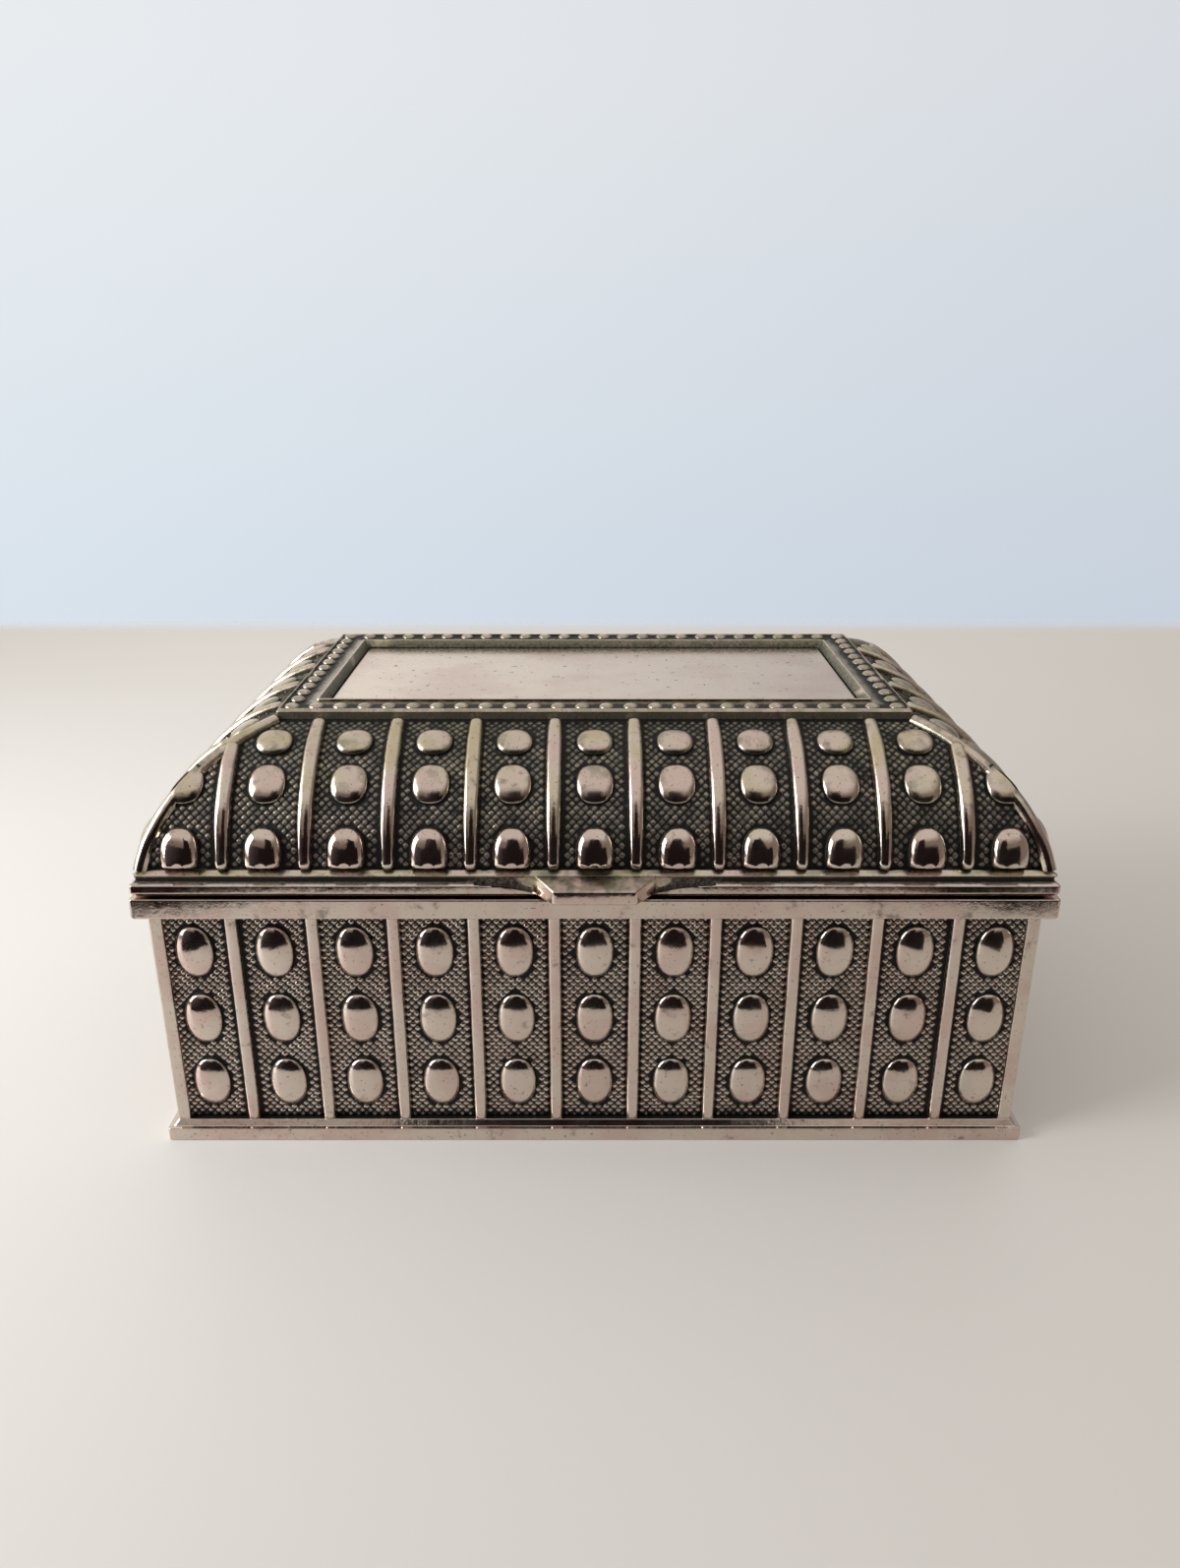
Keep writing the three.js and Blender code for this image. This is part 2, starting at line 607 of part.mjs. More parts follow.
// A wall's card and the velvet that covers its face and folds over its top edge.
function wallLiner(side) {
  const between = side.name === 'front' || side.name === 'back' ? 0 : LINER_BUILD;
  const length = side.length + 2 * CAVITY_OFFSET - 2 * FIT - 2 * between;
  const wall = -side.distance - CAVITY_OFFSET + GLUE_LINE;
  const face = wall + CARD_THICKNESS + GLUE_LINE;
  const bottom = FLOOR_TOP + GLUE_LINE;
  const top = RIM_TOP - LINING_DROP;
  const cardTop = top - VELVET_THICKNESS - GLUE_LINE;
  const sheet = joined([
    block([-length / 2, face, bottom], [length / 2, face + VELVET_THICKNESS, top]),
    block([-length / 2, wall, top - VELVET_THICKNESS], [length / 2, face + VELVET_THICKNESS, top]),
  ]);
  const group = new THREE.Group();
  const card = block([-length / 2, wall, bottom], [length / 2, wall + CARD_THICKNESS, cardTop]);
  group.add(piece(`${side.name}_wall_card`, card, 'card'));
  group.add(piece(`${side.name}_wall_velvet`, shape(sheet), 'velvet'));
  group.rotation.z = side.turn;
  return group;
}

const box = new THREE.Group();

const tray = new THREE.Group();
tray.add(piece('base_casting', shape(baseCasting()), 'silver'));
tray.add(piece('base_baize', baize(), 'baize'));
tray.add(piece('hinge_pin', hingePin(), 'steel'));
SIDES.forEach((side) => tray.add(wallLiner(side)));
const floorPad = pad('floor', CAVITY_OFFSET - LINER_BUILD - FIT, FLOOR_WADDING);
floorPad.position.z = FLOOR_TOP + GLUE_LINE;
tray.add(floorPad);
box.add(tray);

const lid = new THREE.Group();
lid.add(piece('lid_casting', shape(lidCasting()), 'silver'));
lid.add(piece('lid_plate', lidPlate(), 'plate'));
const lidPad = pad('lid', CAVITY_OFFSET - FIT, LID_WADDING);
lidPad.rotation.x = Math.PI;
lidPad.position.z = panelSeat() - FIT;
lid.add(lidPad);
box.add(lid);

export default box;
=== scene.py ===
# A cast, silver-plated trinket box with ribs, bosses and a padded velvet lining, dressed on its CAD frame.
import json
import math
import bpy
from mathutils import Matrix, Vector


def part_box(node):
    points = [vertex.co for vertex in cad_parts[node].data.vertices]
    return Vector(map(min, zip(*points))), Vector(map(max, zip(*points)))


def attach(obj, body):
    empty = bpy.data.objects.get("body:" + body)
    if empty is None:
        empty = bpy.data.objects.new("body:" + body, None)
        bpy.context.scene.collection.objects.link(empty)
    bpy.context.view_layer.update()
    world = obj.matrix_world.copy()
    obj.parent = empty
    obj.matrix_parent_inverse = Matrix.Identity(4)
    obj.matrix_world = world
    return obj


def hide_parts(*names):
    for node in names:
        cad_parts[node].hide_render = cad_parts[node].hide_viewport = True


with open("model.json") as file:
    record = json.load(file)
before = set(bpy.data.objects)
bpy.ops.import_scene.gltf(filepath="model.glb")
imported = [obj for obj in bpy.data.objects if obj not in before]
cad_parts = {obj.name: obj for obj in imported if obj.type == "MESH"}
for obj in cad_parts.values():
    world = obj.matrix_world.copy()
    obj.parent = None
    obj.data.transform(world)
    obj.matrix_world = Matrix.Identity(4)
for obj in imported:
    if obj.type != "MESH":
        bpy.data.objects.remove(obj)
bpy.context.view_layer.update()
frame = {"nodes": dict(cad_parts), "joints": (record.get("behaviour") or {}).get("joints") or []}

from types import SimpleNamespace

import bmesh
import bpy
import numpy as np
from bpy.props import FloatProperty, FloatVectorProperty, IntProperty, PointerProperty
from mathutils import Color, Vector, noise

bl_info = {
    "name": "Plated trinket box",
    "version": (1, 0, 0),
    "blender": (4, 5, 0),
    "location": "3D View > Sidebar > Trinket Box",
    "description": "Dresses a hinged, plated trinket box with its castings, plate, pin, felt and lining",
    "category": "Add Mesh",
}

MM = 0.001  # the frame is in metres, and sizes here are written in millimetres
SIDE_NAMES = ("front", "right", "back", "left")  # each a quarter turn on from the one before
CORNER_SIGNS = ((1, 1), (-1, 1), (-1, -1), (1, -1))
SMOOTH_ANGLE = math.radians(70)  # edges sharper than this stay crisp
LUMP_SHOULDER = (0.29, 0.27)  # a lump's shoulder as shares of the pitch, towards and between its valleys
LUMP_SHOULDER_HEIGHT = 0.68  # and as a share of the lump's height
LUMP_EVENNESS = 0.80  # height of the lowest lumps as a share of the highest
CAST_CORNER = 0.4 * MM  # rounding of the castings' upright corners
CAST_SPACING = 4 * MM  # distance between points along the castings' plain parts
CAST_WOBBLE = (0.045 * MM, 2.4 * MM)  # unevenness of a cast surface, and the length of its waves
PLAIN_RELIEF = 1 * MM  # relief given to plain parts, which were rubbed bright all over
ROUNDING_SHARE = 0.45  # a rounding takes up at most this share of the straight beside it
BOSS_SQUARENESS = 2.2  # 2 makes an oval, and more makes it squarer
WALL_RIB_SQUARENESS = 2.7  # of a rib's section, in the same way
LID_RIB_SQUARENESS = 2.6
LUMP_MITRE_GAP = 0.75 * MM  # the lid's lumps stop this far short of a mitre
SMOOTH_STEP = {"interpolation_type": "SMOOTHSTEP"}
COLOUR_MIX = {"data_type": "RGBA"}
COLOUR_TIMES = {"data_type": "RGBA", "blend_type": "MULTIPLY"}
IMAGE_SIZE = (1200, 1594)  # the photograph's frame, in pixels


def linear(code):
    """Linear red, green and blue of an sRGB hex colour."""
    shares = [int(code[i:i + 2], 16) / 255 for i in (1, 3, 5)]
    return tuple(s / 12.92 if s <= 0.04045 else ((s + 0.055) / 1.055) ** 2.4 for s in shares)


def size(name, description, millimetres):
    """A length that a user may change, written in millimetres and kept in metres."""
    return FloatProperty(name=name, description=description, default=millimetres * MM,
                         unit="LENGTH", subtype="DISTANCE", precision=5)


def amount(name, description, default):
    """A whole number of like things."""
    return IntProperty(name=name, description=description, default=default, min=1)


def tint(name, description, code):
    """A colour that a user may change, written as an sRGB hex value."""
    return FloatVectorProperty(name=name, description=description, default=linear(code),
                               subtype="COLOR", size=3, min=0, max=1)


# Sizes and colours

class GroundSizes(bpy.types.PropertyGroup):
    """The diapered ground of close-set lumps between the ornament."""
    tray_across: size("Tray lump pitch across", "Distance between lumps in one row on the walls", 1.10)
    tray_up: size("Tray lump pitch up", "Distance between lumps in one column on the walls", 1.14)
    lid_across: size("Lid lump pitch across", "Distance between lumps in one row on the lid", 1.13)
    lid_up: size("Lid lump pitch up", "Distance between lumps in one column on the lid", 1.18)
    height: size("Lump height", "How far a lump stands above the valleys beside it", 0.30)
    lid_height: size("Lid lump height", "How far a lump on the lid stands above the valleys", 0.19)
    rib_trough: size("Rib trough", "Distance from a rib within which no lump stands", 0.28)
    boss_trough: size("Boss trough", "Distance from a boss within which no lump stands", 0.25)
    jitter: size("Unevenness", "How far a lump strays from its place in the lattice", 0.03)
    sunk: size("Sunk depth", "How deep shapes that stand on a surface reach into it", 0.45)
    clearance: size("Core clearance", "How far the plain core lies below the ground", 0.12)


class TraySizes(bpy.types.PropertyGroup):
    """Sizes of the base casting."""
    foot_band: size("Foot band", "Height of the foot's upright band", 1.9)
    foot_ledge: size("Foot ledge", "Width of the level ledge between the foot's band and its bevel", 0.55)
    foot_bevel: size("Foot bevel", "Height of the bevel above the foot's band", 0.75)
    foot_out: size("Foot reach", "How far the foot stands out from the posts", 1.2)
    foot_ring: size("Foot ring", "Width of the rim of metal around the felt", 3.6)
    felt_recess: size("Felt recess", "Depth of the recess for the felt", 0.9)
    floor: size("Floor", "Thickness of the floor", 2.2)
    wall_height: size("Wall height", "Height of the ornamented wall", 31.45)
    wall: size("Wall", "Thickness of the wall behind its ground", 2.2)
    rim_height: size("Rim height", "Height of the rim", 2.8)
    rim_out: size("Rim reach", "How far the rim stands out from the posts", 1.5)
    ground_inset: size("Ground inset", "How far the ground lies behind the posts' faces", 0.8)
    front_panels: amount("Front panels", "Panels between ribs along the front", 11)
    side_panels: amount("Side panels", "Panels between ribs along a short side", 7)
    post: size("Post width", "Width of the corner posts", 1.7)
    rib: size("Rib width", "Width of a wall rib at its foot", 1.8)
    rib_proud: size("Rib height", "How far a wall rib stands out from the ground", 0.95)
    boss_width: size("Boss width", "Width of a wall boss", 5.05)
    boss_height: size("Boss height", "Height of a wall boss", 7.6)
    boss_proud: size("Boss dome", "How far a wall boss stands out from the ground", 1.25)
    boss_rows: amount("Boss rows", "Rows of bosses on the wall", 3)
    row_pitch: size("Row pitch", "Distance between rows of wall bosses", 10.0)


class LidSizes(bpy.types.PropertyGroup):
    """Sizes of the lid casting."""
    gap: size("Lid gap", "Gap between the rim and the closed lid", 0.3)
    band_height: size("Band height", "Height of the lid's lower band", 1.45)
    band_out: size("Band reach", "How far the band stands out from the posts' line", 1.3)
    band_edge: size("Band edge", "Height of the undercut along the band's lower edge", 0.5)
    band_under: size("Band undercut", "How far that undercut goes in", 0.35)
    band_lean: size("Band lean", "How far the band's top lies in from its lower edge", 0.02)
    groove_height: size("Groove height", "Height of the groove above the band", 1.25)
    groove_depth: size("Groove depth", "Depth of the groove", 0.7)
    bevel: size("Bevel height", "Height of the bevel above the groove", 0.5)
    bevel_out: size("Bevel reach", "How far the bevel's lower edge stands out from the posts' line", 0.9)
    run: size("Slope run", "How far the slope goes in", 14.8)
    rise: size("Slope rise", "How far the slope goes up", 14.95)
    sag: size("Slope bulge", "How far the slope bulges from a straight line", 2.97)
    shell: size("Shell", "Thickness of the casting", 1.8)
    ledge: size("Panel ledge", "Width of the ledge that the padded panel meets", 1.0)
    panel_seat: size("Panel seat", "Height of that ledge above the lid's lower edge", 4.5)
    rib: size("Rib width", "Width of a lid rib", 2.15)
    rib_proud: size("Rib height", "How far a lid rib stands out", 1.15)
    rib_end: size("Rib end", "Length over which a lid rib draws in to its ends", 1.3)
    hip: size("Hip rib width", "Width of a rib on a mitre", 1.8)
    hip_proud: size("Hip rib height", "How far a rib on a mitre stands out", 0.8)
    mitre_gap: size("Mitre gap", "How far clipped ornament stops short of a mitre", 0.3)
    boss_width: size("Boss width", "Width of a lid boss", 4.9)
    boss_proud: size("Boss dome", "How far a lid boss stands out", 0.95)
    low_proud: size("Low dome", "How far a boss in the low row stands out", 1.75)
    low_row: size("Low boss", "Height of a boss in the low row", 4.9)
    low_dome: size("Low boss, whole", "Height of a boss in the low row before its foot is cut off", 6.6)
    middle_row: size("Middle boss", "Height of a boss in the middle row", 5.6)
    high_row: size("High boss", "Height of a boss in the high row", 4.5)
    low_margin: size("Low margin", "Gap under the low row", 0.45)
    high_margin: size("High margin", "Gap above the high row", 2.5)
    high_gap: size("High gap", "Gap between the middle and the high row", 1.4)
    frame_height: size("Frame height", "Height of the bead frame's outer face", 1.55)
    frame_edge: size("Frame edge", "Width of the frame's outer edge", 0.4)
    bead_floor_depth: size("Bead floor depth", "Depth of the channel the beads stand in", 0.3)
    bead_floor: size("Bead floor", "Width of the channel the beads stand in", 4.1)
    lip: size("Lip width", "Width of the lip around the plate", 0.9)
    lip_overhang: size("Lip overhang", "How far the lip reaches in over the plate", 0.12)
    lip_proud: size("Lip height", "Height of the lip above the channel", 0.4)
    lip_crest: size("Lip crest", "Width of the lip before it slopes to the plate", 0.25)
    frame_chamfer: size("Frame chamfer", "Height of the chamfer along the frame's outer edge", 0.4)
    frame_lean: size("Frame lean", "How far that chamfer leans in", 0.33)
    bead_inset: size("Bead inset", "Distance from the channel's outer edge to the beads' middles", 1.4)
    bead_pitch: size("Bead pitch", "Distance between beads", 3.25)
    bead_length: size("Bead length", "Length of a bead along the frame", 2.1)
    bead_breadth: size("Bead breadth", "Breadth of a bead across the frame", 2.0)
    bead_proud: size("Bead height", "Height of a bead above the channel", 0.6)
    plate_depth: size("Plate depth", "How far the plate lies below the lip", 1.2)
    tab_root: size("Tab root", "Width of the thumb tab where it leaves the band", 14.4)
    tab_front: size("Tab front", "Width of the thumb tab's front edge", 10.2)
    tab_reach: size("Tab reach", "How far the thumb tab stands out from the band", 2.7)
    tab: size("Tab thickness", "Thickness of the thumb tab's front edge", 1.85)
    tab_slope: size("Tab slope", "How far the thumb tab's top falls to the front", 0.6)
    tab_lift: size("Tab lift", "How far the thumb tab's underside lies above the lid's edge", 0.15)
    scoop: size("Scoop length", "Length of the hollow beside the tab", 8.0)
    scoop_bend: size("Scoop bend", "Length of the steep part of that hollow", 3.0)
    scoop_rise: size("Scoop rise", "Height of metal left under the hollow", 0.3)


class HingeSizes(bpy.types.PropertyGroup):
    """Sizes of the hinge at the back."""
    knuckles: amount("Knuckles", "Number of knuckles, taken in turn by tray and lid", 5)
    length: size("Knuckle length", "Length of a knuckle", 9.8)
    gap: size("Knuckle gap", "Gap between knuckles", 0.3)
    radius: size("Knuckle radius", "Radius of a knuckle", 1.9)
    pin: size("Pin radius", "Radius of the pin", 0.9)
    bore: size("Bore radius", "Radius of the hole through the knuckles", 1.1)
    edge: size("Edge", "Rounding of the hinge's edges", 0.25)


class LiningSizes(bpy.types.PropertyGroup):
    """Sizes of the padded lining and the felt."""
    velvet: size("Velvet", "Thickness of the velvet with its pile", 0.8)
    edge: size("Edge rounding", "Rounding where velvet turns over an edge", 0.9)
    crown: size("Crown", "How far a pad rises from its edge to its middle", 1.1)
    ripple: size("Ripple", "Unevenness of hand-laid velvet", 0.12)
    spacing: size("Mesh spacing", "Distance between points along the soft pieces", 1.8)


class StageSizes(bpy.types.PropertyGroup):
    """Where the camera stands, and what stands around the box."""
    camera_left: size("Camera offset", "Sideways place of the camera", -0.6)
    camera_away: size("Camera distance", "How far the camera stands in front of the posts", 129.2)
    camera_height: size("Camera height", "Height of the camera above the table", 101.2)
    pitch: FloatProperty(name="Camera pitch", description="How far the camera looks down",
                         default=math.radians(20.88), subtype="ANGLE")
    focal_pixels: FloatProperty(name="Focal length", description="Focal length in pixels of the image",
                                default=1151.96)
    table_back: size("Table back", "Distance from the box's middle to the table's back edge", 275)
    table_fade: size("Table fade", "Half the length over which the table's back edge fades out", 12)
    table_reach: size("Table reach", "How far the table goes to the sides and the front", 2000)
    table_front: size("Table front", "Distance in front of the box where reflections of the table end", 131)
    card_top: size("Dark card top", "Height of the dark card in front", 210)
    camera_card_away: size("Camera card distance", "How far in front the card by the camera stands", 200)
    camera_card_width: size("Camera card width", "Width of the dark card by the camera", 135)
    camera_card_low: size("Camera card foot", "Height of that card's lower edge", 60)
    camera_card_top: size("Camera card top", "Height of that card's upper edge", 220)
    lamp_size: size("Lamp size", "Side of the soft lamp on the left", 240)
    lamp_left: size("Lamp distance", "How far the lamp stands to the left", 350)
    lamp_back: size("Lamp set-back", "How far the lamp stands behind the box's middle", -105)
    lamp_height: size("Lamp height", "Height of the lamp above the table", 170)
    lamp_aim: size("Lamp aim", "How far left of the box's middle the lamp points", 70)
    lamp_spread: FloatProperty(name="Lamp spread", description="Angle of the grid in front of the lamp",
                               default=math.radians(100), subtype="ANGLE")
    lamp_power: FloatProperty(name="Lamp power", description="Power of the soft lamp on the left",
                              default=0.45, unit="POWER")
    shade: FloatProperty(name="Shade", description="Share of the room's light that falls on dull surfaces",
                         default=0.70, min=0, max=1, subtype="FACTOR")


class Finishes(bpy.types.PropertyGroup):
    """Colours of the finishes and of the stage."""
    silver: tint("Rubbed silver", "Plate that was rubbed back bright", "#d5c8be")
    yellowed: tint("Yellowed silver", "Plate that has begun to tarnish", "#bfb190")
    flank: tint("Dull silver", "Olive tarnish left on the flanks of the ornament", "#86836f")
    rosy: tint("Rosy silver", "Plate worn so thin that copper shows", "#cbb2a7")
    tarnish: tint("Tarnish", "Brown spots of tarnish", "#57453a")
    oxide: tint("Blackening", "Dark finish left in the hollows", "#151515")
    plate: tint("Plate", "The smooth plate on the lid", "#eadccf")
    plate_rosy: tint("Plate, worn", "Rosy patches on the plate", "#dcc7bc")
    plate_spot: tint("Plate spots", "Dark spots on the plate", "#5b463c")
    steel: tint("Pin", "Drawn steel of the hinge pin", "#a9a7a2")
    velvet: tint("Velvet", "Rayon velvet of the lining", "#5c0f1d")
    # Painted sheen: velvet coloured lighter where the nap leans to the light.
    velvet_painted_sheen: tint("Velvet nap", "Velvet where the nap leans to the light", "#74182a")
    velvet_sheen: tint("Velvet sheen", "Light along the ends of the pile", "#d98a95")
    felt: tint("Felt", "Wool felt under the base", "#1f3a2c")
    card: tint("Card", "Grey-brown card under the velvet", "#a58a63")
    wadding: tint("Wadding", "Cotton wadding in the pads", "#ece7da")
    lamp: tint("Lamp", "Cool light of the lamp on the left", "#f5f8fb")
    fill: tint("Fill", "Warm light of the room that falls on dull surfaces", "#e9e1d8")
    table: tint("Table", "The pale table", "#efedea")
    wall_left: tint("Wall, left", "The pale wall, lighter towards the window", "#eaeef1")
    wall_right: tint("Wall, right", "The pale wall away from the window", "#d6dae0")
    wall_low: tint("Wall, low", "Tint of the wall just above the table, on its colour above", "#edf4fb")
    wall_near: tint("Wall, near window", "The bright end of the wall that the plate mirrors", "#fffdf8")
    wall_far: tint("Wall, far right", "The dim end of the wall that the plate mirrors", "#979599")
    room: tint("Room", "The dim room in front of the box", "#8d8177")
    ceiling: tint("Ceiling", "The pale ceiling", "#e9e6e2")
    # Painted reflection: glow of the dark card that polished metal sees, lighter at its end towards the
    # window as painted light.
    dark_card: tint("Dark card", "The dark card behind the camera", "#1f1a1b")
    dark_card_painted_window_light: tint("Dark card, left", "The end of the dark card towards the window", "#5d575a")


class BoxSettings(bpy.types.PropertyGroup):
    """All the sizes and colours of the box."""
    ground: PointerProperty(type=GroundSizes)
    tray: PointerProperty(type=TraySizes)
    lid: PointerProperty(type=LidSizes)
    hinge: PointerProperty(type=HingeSizes)
    lining: PointerProperty(type=LiningSizes)
    stage: PointerProperty(type=StageSizes)
    finish: PointerProperty(type=Finishes)


# Levels and surfaces that several pieces share

def plan(box):
    """Heights, offsets from the posts' line and the slope's arc, worked out from the sizes and the frame."""
    tray, lid = box.tray, box.lid
    low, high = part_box("base_casting")
    p = SimpleNamespace(half=(high.x - tray.rim_out, -low.y - tray.rim_out))
    p.foot_top = tray.foot_band + tray.foot_bevel
    p.wall_top = p.foot_top + tray.wall_height
    p.rim_top = p.wall_top + tray.rim_height
    p.floor_top = tray.felt_recess + tray.floor
    p.cavity = -tray.ground_inset - tray.wall
    p.lid_bottom = p.rim_top + lid.gap
    p.band_top = p.lid_bottom + lid.band_height
    p.bevel_bottom = p.band_top + lid.groove_height
    p.slope_foot = p.bevel_bottom + lid.bevel
    p.frame_bottom = p.slope_foot + lid.rise
    p.frame_top = p.frame_bottom + lid.frame_height
    p.bead_floor = p.frame_top - lid.bead_floor_depth
    p.lip_top = p.bead_floor + lid.lip_proud
    p.plate_top = p.lip_top - lid.plate_depth
    p.plate_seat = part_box("lid_plate")[0].z - 0.1 * MM
    p.groove = lid.band_out - lid.groove_depth
    p.bead_row = -lid.run - lid.frame_edge - lid.bead_inset
    p.bead_offset = -lid.run - lid.frame_edge
    p.lip_offset = p.bead_offset - lid.bead_floor
    p.plate_offset = p.lip_offset - lid.lip
    chord = math.hypot(lid.run, lid.rise)
    p.radius = chord ** 2 / (8 * lid.sag) + lid.sag / 2
    half_angle = math.asin(chord / 2 / p.radius)
    lean = math.pi / 2 - math.atan2(lid.rise, lid.run)
    p.arc_start = lean - half_angle
    p.arc_end = lean + half_angle
    p.arc_length = p.radius * (p.arc_end - p.arc_start)
    p.arc_inset = p.radius * math.cos(p.arc_start)
    p.arc_z = p.slope_foot - p.radius * math.sin(p.arc_start)
    p.hinge = Vector(frame["joints"][0]["pos_m"])
    return p


def sides(box, p):
    """The four sides, each with its length, its distance from the middle and its panels."""
    made = []
    for turn, name in enumerate(SIDE_NAMES):
        across = turn % 2
        made.append(SimpleNamespace(
            name=name, turn=turn, length=2 * p.half[across], distance=p.half[1 - across],
            panels=box.tray.side_panels if across else box.tray.front_panels))
    return made


def turned(points, turn):
    """Points made for the front, turned by quarter turns to another side."""
    for _ in range(turn):
        points = np.stack([-points[:, 1], points[:, 0], points[:, 2]], axis=1)
    return points


def on_wall(side, inset, shape):
    """A shape drawn as (along, up, out) set on a side's wall, whose ground lies inset behind the posts."""
    along, up, out = shape[0].T
    return turned(np.stack([along, inset - side.distance - out, up], axis=1), side.turn), shape[1]


def on_slope(side, p, shape):
    """A shape drawn as (along, up the arc, out) set on a side's slope."""
    along, arc, out = shape[0].T
    angle = p.arc_start + arc / p.radius
    inset = p.arc_inset - (p.radius + out) * np.cos(angle)
    height = p.arc_z + (p.radius + out) * np.sin(angle)
    return turned(np.stack([along, inset - side.distance, height], axis=1), side.turn), shape[1]


def offset_of(p, points):
    """How far each point lies outside the posts' line, which is less than 0 inside it."""
    return np.maximum(np.abs(points[:, 0]) - p.half[0], np.abs(points[:, 1]) - p.half[1])


def inset_at(p, arc):
    """How far the slope has gone in at a length up its arc."""
    return p.arc_inset - p.radius * np.cos(p.arc_start + arc / p.radius)


def arc_at(p, inset):
    """Length up the arc at which the slope has gone in that far."""
    return p.radius * (math.acos((p.arc_inset - inset) / p.radius) - p.arc_start)


def panel_middles(side):
    """Middles of a side's panels."""
    pitch = side.length / side.panels
    return [(i - (side.panels - 1) / 2) * pitch for i in range(side.panels)]


def rib_places(side):
    """Places of a side's ribs, between its panels."""
    pitch = side.length / side.panels
    return [(i - side.panels / 2) * pitch for i in range(1, side.panels)]


# Shapes: each is its points and its faces

def tube(rings):
    """A closed solid through rings of equal counts, each counter-clockwise about the way they run."""
    count = len(rings[0])
    points = np.concatenate([np.asarray(ring, float) for ring in rings])
    faces = [tuple(range(count))[::-1]]
    for start in range(0, len(points) - count, count):
        for i in range(count):
            j = (i + 1) % count
            faces.append((start + i, start + j, start + count + j, start + count + i))
    faces.append(tuple(range(len(points) - count, len(points))))
    return points, faces


def gathered(shapes):
    """Several shapes as one."""
    points, faces, start = [], [], 0
    for shape_points, shape_faces in shapes:
        points.append(shape_points)
        faces.extend(tuple(i + start for i in face) for face in shape_faces)
        start += len(shape_points)
    return np.concatenate(points), faces


def bend(first, middle, last, share):
    """The point a share of the way along a curve from first to last, which is drawn to the middle."""
    return (1 - share) ** 2 * first + 2 * share * (1 - share) * middle + share ** 2 * last


def softened(profile, steps=3):
    """A profile of (offset, height, rounding) points as plain points, with each corner rounded off."""
    made = []
    for i, (*point, rounding) in enumerate(profile):
        point = np.array(point)
        if rounding == 0:
            made.append(point)
            continue
        ways = [np.array(profile[j][:2]) - point for j in (i - 1, i + 1)]
        lengths = [np.linalg.norm(way) for way in ways]
        reach = min(rounding, *(ROUNDING_SHARE * length for length in lengths))
        first, last = (point + way / length * reach for way, length in zip(ways, lengths))
        made += [bend(first, point, last, step / steps) for step in range(steps + 1)]
    return made


def rectangle(half, height, corner, cuts, corner_steps=4):
    """A level rectangle with rounded corners, its straight sides cut into pieces."""
    arcs = []
    for quarter, (sign_x, sign_y) in enumerate(CORNER_SIGNS):
        angles = math.pi / 2 * (quarter + np.arange(corner_steps + 1) / corner_steps)
        arcs.append(np.stack([sign_x * (half[0] - corner) + corner * np.cos(angles),
                              sign_y * (half[1] - corner) + corner * np.sin(angles)], axis=1))
    ring = []
    for quarter in range(4):
        start, end = arcs[quarter][-1], arcs[(quarter + 1) % 4][0]
        shares = np.linspace(0, 1, cuts[quarter % 2] + 1)[1:-1, None]
        ring.append(np.concatenate([arcs[quarter], start + shares * (end - start)]))
    ring = np.concatenate(ring)
    return np.column_stack([ring, np.full(len(ring), height)])


def loft(half, profile, corner, spacing):
    """A closed solid through level rectangles, from a profile of (offset, height) points."""
    cuts = [max(1, round(2 * h / spacing)) for h in half]
    return tube([rectangle((half[0] + o, half[1] + o), z, corner, cuts) for o, z in profile])


def rounded_square(wave, squareness):
    """A cosine or sine made squarer: with 2 it stays a circle's."""
    return np.sign(wave) * np.abs(wave) ** (2 / squareness)


def dome(oval, proud, sunk, squareness=BOSS_SQUARENESS, fullness=2.0, foot=None, sides=24, steps=7):
    """A dome on an oval of (along, up, width, height), flatter the fuller it is, which may end at a foot."""
    *middle, width, height = oval
    angles = 2 * np.pi * (np.arange(sides) + 0.5) / sides
    across = rounded_square(np.cos(angles), squareness) * width / 2
    along = rounded_square(np.sin(angles), squareness) * height / 2
    levels = [(1, -sunk)]
    for step in range(steps):
        swing = math.pi / 2 * step / (steps - 0.5)
        levels.append((math.cos(swing) ** (2 / fullness), proud * math.sin(swing) ** (2 / fullness)))
    rings = [np.column_stack([middle[0] + across * scale, middle[1] + along * scale, np.full(sides, out)])
             for scale, out in levels]
    if foot is not None:
        for ring in rings:
            ring[:, 1] = np.maximum(ring[:, 1], foot)
    return tube(rings)


def ridge(line, width, proud, sunk, squareness, sides=8):
    """A rib drawn as (along, up, out) along a line of (along, up, share of its full section) points."""
    angles = np.pi * (np.arange(sides + 1) / sides - 0.5)
    out = np.abs(np.cos(angles)) ** (2 / squareness) * proud
    across = rounded_square(np.sin(angles), squareness) * width / 2
    out = np.concatenate([out, [-sunk, -sunk]])
    across = np.concatenate([across, [width / 2, -width / 2]])
    rings = []
    for along, up, share in line:
        rise = np.where(out > 0, out * share, out)
        rings.append(np.column_stack([along + across * share, np.full(len(out), up), rise]))
    return tube(rings)


def bevelled(points, faces, rounding, steps=2):
    """A flat-faced solid with its edges rounded."""
    work = bmesh.new()
    corners = [work.verts.new(point) for point in points]
    for face in faces:
        work.faces.new([corners[i] for i in face])
    bmesh.ops.bevel(work, geom=work.edges[:], offset=rounding, segments=steps, affect="EDGES", profile=0.5)
    work.verts.index_update()
    made = np.array([v.co[:] for v in work.verts]), [tuple(v.index for v in f.verts) for f in work.faces]
    work.free()
    return made


def block(low, high):
    """The points and faces of a plain block."""
    (left, front, bottom), (right, back, top) = low, high
    corners = ((left, front), (right, front), (right, back), (left, back))
    return tube([[(*corner, z) for corner in corners] for z in (bottom, top)])


